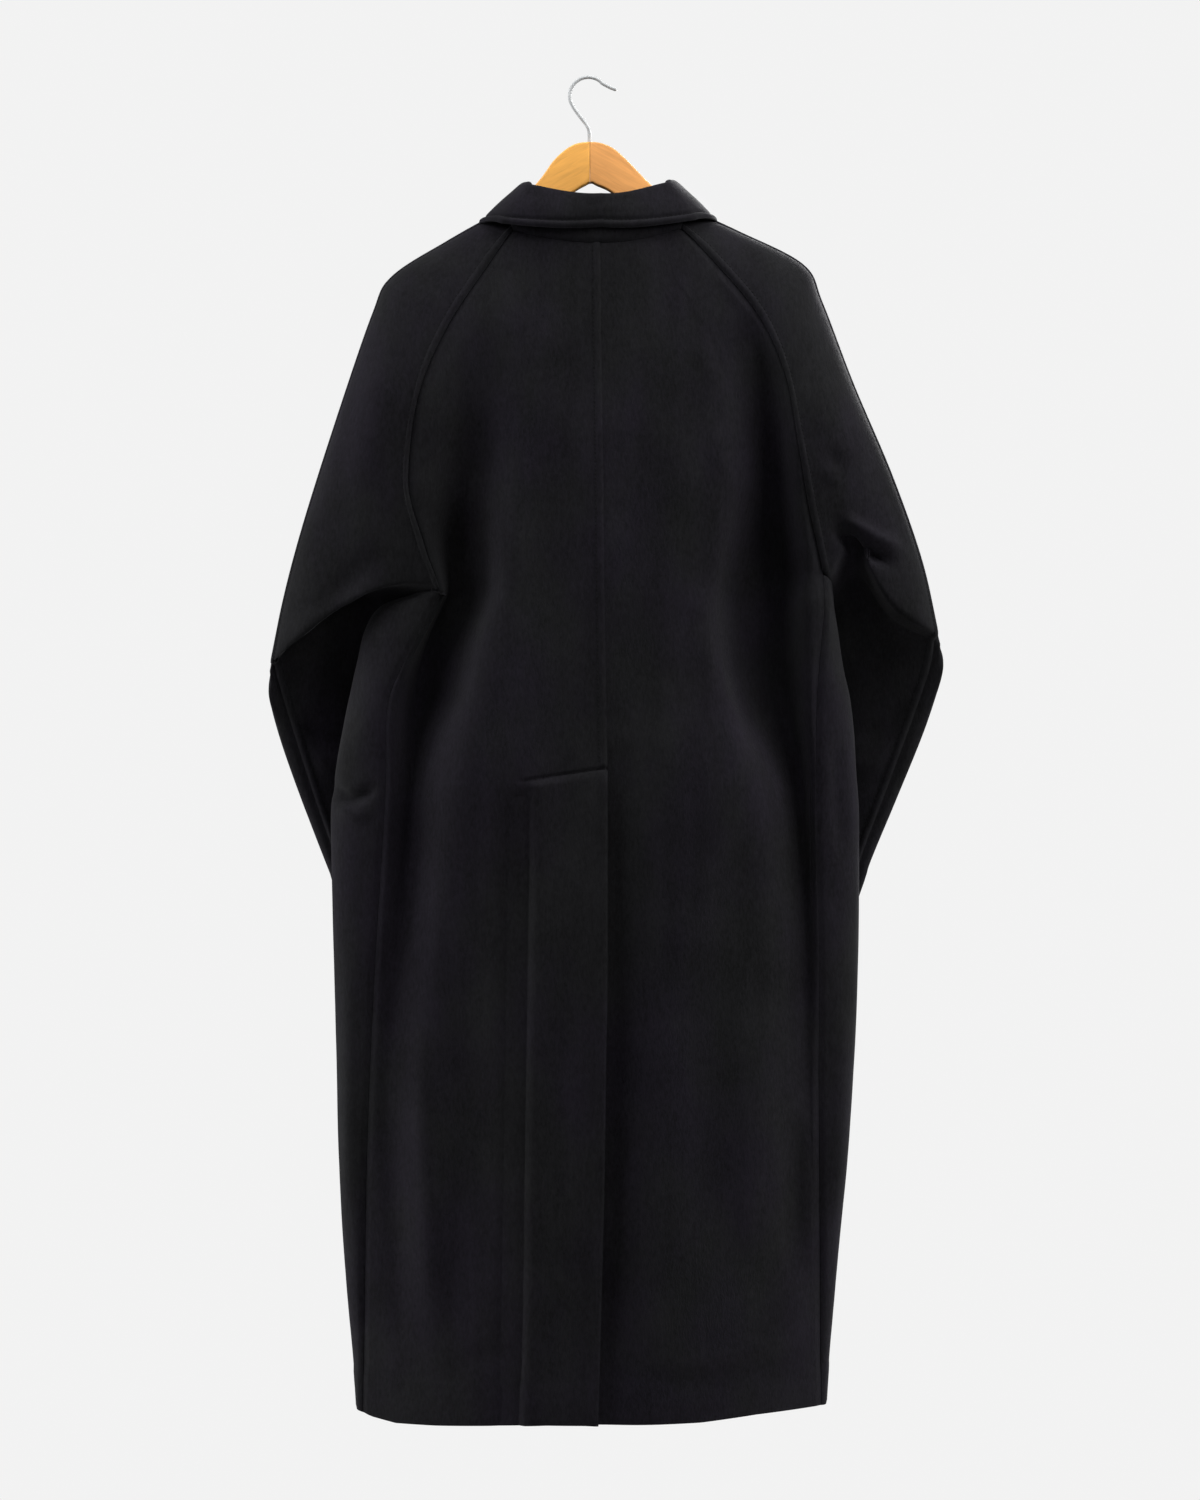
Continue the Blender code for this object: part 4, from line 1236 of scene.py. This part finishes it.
@made_once("black_horn")
def horn(finish):
    """Polished black horn of the buttons, with faint streaks."""
    streaks = finish.noise(finish.place((1, 1, 5), (0, 0.5, 0)), 160, 4.0, 0.6, 1.2)
    specks = finish.noise(finish.place(), 900, 2.0)
    tone = finish.tones(finish.ramp(streaks, 0.4, 0.72), settings().button_colour, 0.7, 2.6)
    return finish.surface(Base_Color=tone, Roughness=finish.ramp(specks, 0.3, 0.7, 0.28, 0.44),
                          Normal=finish.bump(specks, 0.00004), Specular_IOR_Level=0.45)


@made_once("varnished_wood")
def varnished_wood(finish):
    """Varnished hanger wood: two glued halves, each with its grain along its arm and its own tone."""
    chosen = bpy.context.scene.hanger_settings
    where = finish.node("ShaderNodeSeparateXYZ", {}, {"Vector": finish.place()})
    right = Grade(finish, where.outputs["X"]).above(GLUE_LINE * MM)
    woods = []
    for arm, colour in ((ARM_SLOPE, chosen.left_wood), (-ARM_SLOPE, chosen.right_wood)):
        bands = finish.noise(finish.place((9, 1, 1), (0, arm, 0)), 130, 5.0, 0.6, 1.5)
        pores = finish.noise(finish.place((24, 1, 1), (0, arm, 0)), 620, 3.0, 0.7)
        light = finish.tones(finish.ramp(bands, 0.34, 0.68), colour, 0.84, 1.06)
        woods.append(finish.mix(finish.ramp(pores, 0.56, 0.74, 0.0, 0.4), light, shade(colour, 0.62)))
    grain = finish.noise(finish.place((14, 1, 1), (0, ARM_SLOPE, 0)), 300, 4.0, 0.6)
    handled = finish.noise(finish.place(), 26, 3.0)
    return finish.surface(Base_Color=finish.mix(right, *woods), Normal=finish.bump(grain, 0.00008),
                          Roughness=finish.ramp(handled, 0.3, 0.7, 0.44, 0.58), Coat_Weight=0.12,
                          Coat_Roughness=0.3, Specular_IOR_Level=0.3)


@made_once("plated_wire")
def plated_wire(finish):
    """Dulled zinc plated steel with drawing marks along the wire."""
    drawn = finish.noise(finish.place((1, 1, 12)), 1900, 3.0, 0.65)
    clouds = finish.noise(finish.place(), 90, 3.0)
    colour = bpy.context.scene.hanger_settings.wire_colour
    tone = finish.tones(finish.ramp(clouds, 0.3, 0.7), colour, 0.82, 1.08)
    rough = finish.ramp(drawn * 0.6 + clouds * 0.4, 0.3, 0.7, 0.5, 0.65)
    return finish.surface(Base_Color=tone, Metallic=0.15, Roughness=rough,
                          Normal=finish.bump(drawn, 0.00001), Specular_IOR_Level=0.3)


@made_once("pale_floor")
def pale_floor(finish):
    """Matt pale floor."""
    mottle = finish.noise(finish.place(), 5, 3.0)
    colour = bpy.context.scene.stage_settings.floor_colour
    tone = finish.tones(finish.ramp(mottle, 0.3, 0.7), colour, 0.97, 1.02)
    return finish.surface(Base_Color=tone, Roughness=finish.ramp(mottle, 0.3, 0.7, 0.85, 0.95))


def tube(points, radius, sides, closed=False):
    """Vertices and faces of a round tube along a line that lies across Y, with rounded ends."""
    points = np.asarray(points, dtype=float)
    radii = np.full(len(points), float(radius))
    if closed:
        ahead = unit(np.roll(points, -1, axis=0) - np.roll(points, 1, axis=0))
    else:
        ahead = unit(np.gradient(points, axis=0))
        bends = np.radians(TIP_TURNS)[:, None]
        start = points[0] - radius * np.sin(bends) * ahead[0]
        end = points[-1] + radius * np.sin(bends[::-1]) * ahead[-1]
        narrow = radius * np.cos(bends[:, 0])
        radii = np.concatenate([narrow, radii, narrow[::-1]])
        points = np.concatenate([start, points, end])
        ahead = np.pad(ahead, ((len(bends), len(bends)), (0, 0)), mode="edge")
    deep = np.array([0.0, 1.0, 0.0])
    turns = round_turn(sides)
    rings = [point + size * (np.cos(turns) * flat + np.sin(turns) * deep)
             for point, size, flat in zip(points, radii, unit(np.cross(ahead, deep)))]
    return lofted(rings, closed=closed)


def turned_button(centre, back, thickness, radius):
    """Vertices and faces of a dished button that rests at a depth, its face towards +Y."""
    turns = round_turn(BUTTON_SIDES)
    around = np.hstack([np.cos(turns), np.zeros_like(turns), np.sin(turns)])
    profile = flowing(BUTTON_PROFILE, np.linspace(0, len(BUTTON_PROFILE) - 1, BUTTON_RINGS))
    rings = [np.array([centre[0], back + thickness * height, centre[1]]) + radius * out * around
             for out, height in profile]
    return lofted(rings, turned=True)


def drilled(button, centre, depth):
    """Cut the four thread holes through a button."""
    drill = bmesh.new()
    for x in (-HOLE_PLACE, HOLE_PLACE):
        for z in (-HOLE_PLACE, HOLE_PLACE):
            spot = Matrix.Translation(Vector((centre[0] + x, depth, centre[1] + z)) * MM)
            bmesh.ops.create_cone(drill, cap_ends=True, segments=HOLE_SIDES, depth=HOLE_DEPTH * MM,
                                  radius1=HOLE_RADIUS * MM, radius2=HOLE_RADIUS * MM,
                                  matrix=spot @ Matrix.Rotation(math.radians(90), 4, "X"))
    mesh = bpy.data.meshes.new("button_drill")
    drill.to_mesh(mesh)
    drill.free()
    cutter = linked("button_drill", mesh)
    cut = button.modifiers.new("holes", "BOOLEAN")
    cut.operation = "DIFFERENCE"
    cut.solver = "EXACT"
    cut.object = cutter
    solid = button.evaluated_get(bpy.context.evaluated_depsgraph_get())
    bored = bpy.data.meshes.new_from_object(solid)
    button.modifiers.clear()
    button.data = bored
    bored.set_sharp_from_angle(angle=SHARP_ANGLE)
    bpy.data.objects.remove(cutter, do_unlink=True)


def hanger_half(side):
    """Vertices and faces of one half of the hanger, with rounded edges and a flat glued end."""
    top, bottom = (flowing(edge, np.linspace(0, len(edge) - 1, OUTLINE_STEPS))
                   for edge in (HANGER_TOP, HANGER_BOTTOM))
    joint = GLUE_LINE + side * GLUE_GAP / 2
    upper, lower = (edge[side * (edge[:, 0] - joint) > JOINT_CLEAR] for edge in (top, bottom))
    high = np.interp(joint, top[:, 0], top[:, 1])
    low = np.interp(joint, bottom[::-1, 0], bottom[::-1, 1])
    if side == LEFT:
        outline = np.concatenate([upper, [(joint, high), (joint, low)], lower])
    else:
        outline = np.concatenate([[(joint, high)], upper, lower, [(joint, low)]])
    ahead = unit(np.roll(outline, -1, axis=0) - np.roll(outline, 1, axis=0))
    inward = np.stack([ahead[:, 1], -ahead[:, 0]], axis=1)
    inward[np.abs(outline[:, 0] - joint) < JOINT_CLEAR] *= np.array([JOINT_ROUNDING, 1.0])
    turns = np.linspace(0.0, math.pi / 2, ROUNDING_STEPS)
    half = HANGER_THICKNESS / 2 - HANGER_ROUNDING
    rings = [(1.0 - math.sin(turn), -half - HANGER_ROUNDING * math.cos(turn)) for turn in turns]
    rings += [(inset, -depth) for inset, depth in reversed(rings)]
    skin = []
    for inset, depth in rings:
        spread = outline + inset * HANGER_ROUNDING * inward
        skin.append(np.insert(spread, 1, depth, axis=1))
    return lofted(skin, turned=True)


def hook_line():
    """Points along the middle of the hook's wire."""
    turns = np.radians(np.linspace(HOOK_ARC_FROM, HOOK_ARC_TO, HOOK_ARC_STEPS))
    arc = np.stack([HOOK_RADIUS * np.cos(turns), HOOK_CENTRE_HEIGHT + HOOK_RADIUS * np.sin(turns)], axis=1)
    line = np.concatenate([HOOK_STEM, arc, HOOK_TIP])
    return np.insert(flowing(line, np.linspace(0, len(line) - 1, HOOK_STEPS)), 1, 0.0, axis=1)


def buttonhole(edge_x, height, depth):
    """Vertices and faces of a worked buttonhole, a bead round a slit."""
    half = BUTTONHOLE_WIDTH / 2
    turns = round_turn(BUTTONHOLE_STEPS)
    straight = BUTTONHOLE_LENGTH / 2 - half
    x = edge_x - BUTTONHOLE_LENGTH / 2 + np.sign(np.cos(turns)) * straight + half * np.cos(turns)
    line = np.hstack([x, np.full_like(x, depth), height + half * np.sin(turns)])
    return tube(line, BUTTONHOLE_BEAD, BEAD_SIDES, closed=True)


def hang_lamp(row, power):
    """Soft square lamp that looks at the middle of the coat."""
    data = bpy.data.lights.new(row.name, "AREA")
    data.size = row.size
    data.energy = row.share * power
    data.color = row.colour
    light = linked(row.name, data)
    light.location = row.spot
    middle = (CAD_BOX[0] + CAD_BOX[1]) / 2
    light.rotation_euler = (middle - light.location).to_track_quat("-Z", "Y").to_euler()


def lay_floor(height):
    """Round floor under the coat with a rounded edge."""
    turns = round_turn(FLOOR_SIDES)
    around = np.hstack([np.cos(turns), np.sin(turns), np.zeros_like(turns)])
    rings = [row.out * FLOOR_RADIUS * around + np.array([0, 0, height + row.rise])
             for row in FLOOR_PROFILE]
    vertices, faces = lofted(rings, turned=True)
    smooth_mesh("floor", vertices, faces[:-1], pale_floor())


def white_surround(backdrop, room_light):
    """White world, as bright as the backdrop to the camera and as the room's light to the coat."""
    world = bpy.data.worlds.new("white_surround")
    world.use_nodes = True
    tree = world.node_tree
    tree.nodes.remove(tree.nodes["Background"])
    ray = tree.nodes.new("ShaderNodeLightPath")
    both = tree.nodes.new("ShaderNodeMixShader")
    tree.links.new(ray.outputs["Is Camera Ray"], both.inputs["Fac"])
    for socket, strength in ((1, room_light), (2, backdrop)):
        white = tree.nodes.new("ShaderNodeBackground")
        white.inputs["Color"].default_value = (1.0, 1.0, 1.0, 1.0)
        white.inputs["Strength"].default_value = strength
        tree.links.new(white.outputs["Background"], both.inputs[socket])
    tree.links.new(both.outputs["Shader"], tree.nodes["World Output"].inputs["Surface"])
    return world


# What the settings of a kind share
COLOUR = {"subtype": "COLOR", "min": 0.0, "max": 1.0}
POWER = {"unit": "POWER", "min": 0.0, "max": 1000.0}
LENGTH = {"unit": "LENGTH", "precision": 4}


class CoatSettings(bpy.types.PropertyGroup):
    wall: FloatProperty(name="Wall", description="Thickness of the cloth",
                        default=WALL * MM, min=0.001, max=0.003, **LENGTH)
    seam_rise: FloatProperty(name="Seam rise", description="How far a lapped seam stands up",
                             default=SEAM_RISE * MM, min=0.0, max=0.003, **LENGTH)
    stitch_length: FloatProperty(name="Stitch length", description="Length of one stitch on the cloth",
                                 default=0.0032, min=0.001, max=0.004, **LENGTH)
    wool_colour: FloatVectorProperty(name="Wool", description="Colour of the wool",
                                     default=(0.0046, 0.0047, 0.0053), **COLOUR)
    wool_tint: FloatVectorProperty(name="Wool tint", description="Colour of the wool's cloudy patches",
                                   default=(0.0047, 0.0040, 0.0064), **COLOUR)
    button_colour: FloatVectorProperty(name="Buttons", description="Colour of the buttons",
                                       default=(0.012, 0.011, 0.011), **COLOUR)


class HangerSettings(bpy.types.PropertyGroup):
    left_wood: FloatVectorProperty(name="Left wood", description="Colour of the hanger's left half",
                                   default=(0.64, 0.307, 0.057), **COLOUR)
    right_wood: FloatVectorProperty(name="Right wood", description="Colour of the hanger's right half",
                                    default=(0.60, 0.272, 0.075), **COLOUR)
    wire_colour: FloatVectorProperty(name="Wire", description="Colour of the hook's wire",
                                     default=(0.35, 0.36, 0.365), **COLOUR)


class StageSettings(bpy.types.PropertyGroup):
    camera_distance: FloatProperty(name="Camera distance", description="Distance from the hanger's plane",
                                   default=3.4, min=1.0, max=10.0, **LENGTH)
    lens: FloatProperty(name="Lens", description="Focal length of the camera",
                        default=81.6, min=20.0, max=300.0, unit="CAMERA")
    floor_drop: FloatProperty(name="Floor drop", description="Room between the hem and the floor",
                              default=0.52, min=0.01, max=2.0, **LENGTH)
    floor_colour: FloatVectorProperty(name="Floor", description="Colour of the floor",
                                      default=(0.50, 0.495, 0.485), **COLOUR)
    backdrop: FloatProperty(name="Backdrop", description="Brightness of the white surround",
                            default=0.89, min=0.0, max=5.0)
    room_light: FloatProperty(name="Room light", description="Brightness of the light from all round",
                              default=0.02, min=0.0, max=5.0)
    side_power: FloatProperty(name="Side lamps", description="Power of the soft lamps at both sides",
                              default=115.0, **POWER)
    high_power: FloatProperty(name="High lamp", description="Power of the soft lamp above the coat",
                              default=66.0, **POWER)
    fill_power: FloatProperty(name="Fill lamp", description="Power of the weak lamp beside the camera",
                              default=17.0, **POWER)
    edge_power: FloatProperty(name="Edge lamps", description="Power of the lamps that light the outline",
                              default=26.0, **POWER)
    front_power: FloatProperty(name="Front lamp", description="Power of the lamp before the fronts",
                               default=200.0, **POWER)


def settings():
    """The coat's sizes and colours."""
    return bpy.context.scene.coat_settings


class COAT_OT_hanger(bpy.types.Operator):
    """Build the wooden hanger from its two glued halves"""

    bl_idname = "coat.hanger"
    bl_label = "Hanger"

    def execute(self, context):
        halves = joined([hanger_half(LEFT), hanger_half(RIGHT)])
        place_piece("hanger_wood", halves, varnished_wood(), "hanger")
        return {"FINISHED"}


class COAT_OT_hook(bpy.types.Operator):
    """Bend the hook's wire"""

    bl_idname = "coat.hook"
    bl_label = "Hook"

    def execute(self, context):
        wire = tube(hook_line(), WIRE_DIAMETER / 2, WIRE_SIDES)
        place_piece("hook_wire", wire, plated_wire(), "hook")
        return {"FINISHED"}


class COAT_OT_backs(bpy.types.Operator):
    """Sew the back panels with their centre seam and vent"""

    bl_idname = "coat.backs"
    bl_label = "Back panels"

    def execute(self, context):
        left, right = back_grid(LEFT), back_grid(RIGHT)
        above = 1.0 - smooth_step((left[1] - VENT_TOP) / VENT_LAP_FADE + 1.0)
        sew("back_left", left[0], -LEFT, ("lapped", "tucked", "tucked", "hemmed"), lap_rows=above,
            marks=vent_marks, tacks=tack_path)
        grid, cells = vented(right, left)
        sew("back_right", grid, -RIGHT, ("cut", "tucked", "tucked", "hemmed"), cells)
        return {"FINISHED"}


class COAT_OT_fronts(bpy.types.Operator):
    """Sew the front panels"""

    bl_idname = "coat.fronts"
    bl_label = "Front panels"

    def execute(self, context):
        for side, edge in ((LEFT, "turned"), (RIGHT, "cut")):
            sew("front_" + SIDE_NAMES[side], front_grid(side), -side, ("tucked", edge, "tucked", "hemmed"))
        return {"FINISHED"}


class COAT_OT_sleeves(bpy.types.Operator):
    """Sew both halves of the two raglan sleeves"""

    bl_idname = "coat.sleeves"
    bl_label = "Sleeves"

    def execute(self, context):
        for side in (LEFT, RIGHT):
            for half, lines, turn, overarm in zip(("back", "front"), sleeve_lines(side), (-side, side),
                                                  ("lapped", "tucked")):
                grid, places = sleeve_grid(lines)
                raglan = 1.0 - smooth_step((places - UNDERARM) / RAGLAN_FADE + 1.0)
                sew(f"sleeve_{SIDE_NAMES[side]}_{half}", grid, turn,
                    ("lapped", overarm, "tucked", "hemmed"), lap_rows=raglan)
        return {"FINISHED"}


class COAT_OT_collar(bpy.types.Operator):
    """Sew the collar's stand and its turned-down fall"""

    bl_idname = "coat.collar"
    bl_label = "Collar"

    def execute(self, context):
        stand, fall = collar_grids()
        sew("collar_stand", stand, 1, ("cut", "cut", "cut", "cut"))
        sew("collar_fall", fall, -1, ("turned", "turned", "cut", "turned"))
        return {"FINISHED"}


class COAT_OT_buttons(bpy.types.Operator):
    """Turn the buttons, sew them on and work their buttonholes"""

    bl_idname = "coat.buttons"
    bl_label = "Buttons"

    def execute(self, context):
        for number in range(1, BUTTON_COUNT + 1):
            node = f"button_{number}"
            low, high = (np.array(corner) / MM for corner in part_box(node))
            centre = ((low[0] + high[0]) / 2, (low[2] + high[2]) / 2)
            form = turned_button(centre, low[1], high[1] - low[1], (high[0] - low[0]) / 2)
            button = place_piece(node + "_horn", form, horn(), node)
            drilled(button, centre, (low[1] + high[1]) / 2)
            face = low[1] + BUTTON_PROFILE[0].height * (high[1] - low[1])
            bars = []
            for x in (centre[0] - HOLE_PLACE, centre[0] + HOLE_PLACE):
                knots = [(x, face, centre[1] - HOLE_PLACE), (x, face + THREAD_RADIUS, centre[1]),
                         (x, face, centre[1] + HOLE_PLACE)]
                bar = flowing(knots, np.linspace(0, len(knots) - 1, THREAD_STEPS))
                bars.append(tube(bar, THREAD_RADIUS, THREAD_SIDES))
            hole = buttonhole(centre[0] + BUTTONHOLE_PAST, centre[1], low[1] - SEAM_GAP)
            place_piece(node + "_thread", joined(bars), yarn())
            place_piece(f"buttonhole_{number}", hole, yarn())
        return {"FINISHED"}


class COAT_OT_stage(bpy.types.Operator):
    """Set up the floor, the soft lamps, the white surround and the camera"""

    bl_idname = "coat.stage"
    bl_label = "Stage"

    def execute(self, context):
        scene = context.scene
        chosen = scene.stage_settings
        lay_floor(CAD_BOX[0].z - chosen.floor_drop)
        for row in LAMPS:
            hang_lamp(row, getattr(chosen, row.setting))
        scene.world = white_surround(chosen.backdrop, chosen.room_light)
        scene.view_settings.view_transform = "Standard"
        data = bpy.data.cameras.new("camera")
        data.lens = chosen.lens
        camera = linked("camera", data)
        camera.location = (CAMERA_X, -chosen.camera_distance, CAMERA_HEIGHT)
        camera.rotation_euler = (math.radians(90), 0, 0)
        scene.camera = camera
        return {"FINISHED"}


BUILD_ORDER = (COAT_OT_hanger, COAT_OT_hook, COAT_OT_backs, COAT_OT_fronts, COAT_OT_sleeves,
               COAT_OT_collar, COAT_OT_buttons, COAT_OT_stage)


class COAT_PT_build(bpy.types.Panel):
    """Pieces of the coat and their settings"""

    bl_idname = "COAT_PT_build"
    bl_label = "Raglan coat"
    bl_space_type = "VIEW_3D"
    bl_region_type = "UI"
    bl_category = "Coat"

    def draw(self, context):
        for operator in BUILD_ORDER:
            self.layout.operator(operator.bl_idname)
        for name in GROUPS:
            group = getattr(context.scene, name)
            for setting in group.bl_rna.properties:
                if setting.identifier not in ("rna_type", "name"):
                    self.layout.prop(group, setting.identifier)


GROUPS = {"coat_settings": CoatSettings, "hanger_settings": HangerSettings,
          "stage_settings": StageSettings}
CLASSES = (*GROUPS.values(), *BUILD_ORDER, COAT_PT_build)


def register():
    for kind in CLASSES:
        bpy.utils.register_class(kind)
    for name, kind in GROUPS.items():
        setattr(bpy.types.Scene, name, PointerProperty(type=kind))


def unregister():
    for name in GROUPS:
        delattr(bpy.types.Scene, name)
    for kind in reversed(CLASSES):
        bpy.utils.unregister_class(kind)


def main():
    register()
    for operator in BUILD_ORDER:
        group, name = operator.bl_idname.split(".")
        getattr(getattr(bpy.ops, group), name)()


if __name__ == "__main__":
    main()
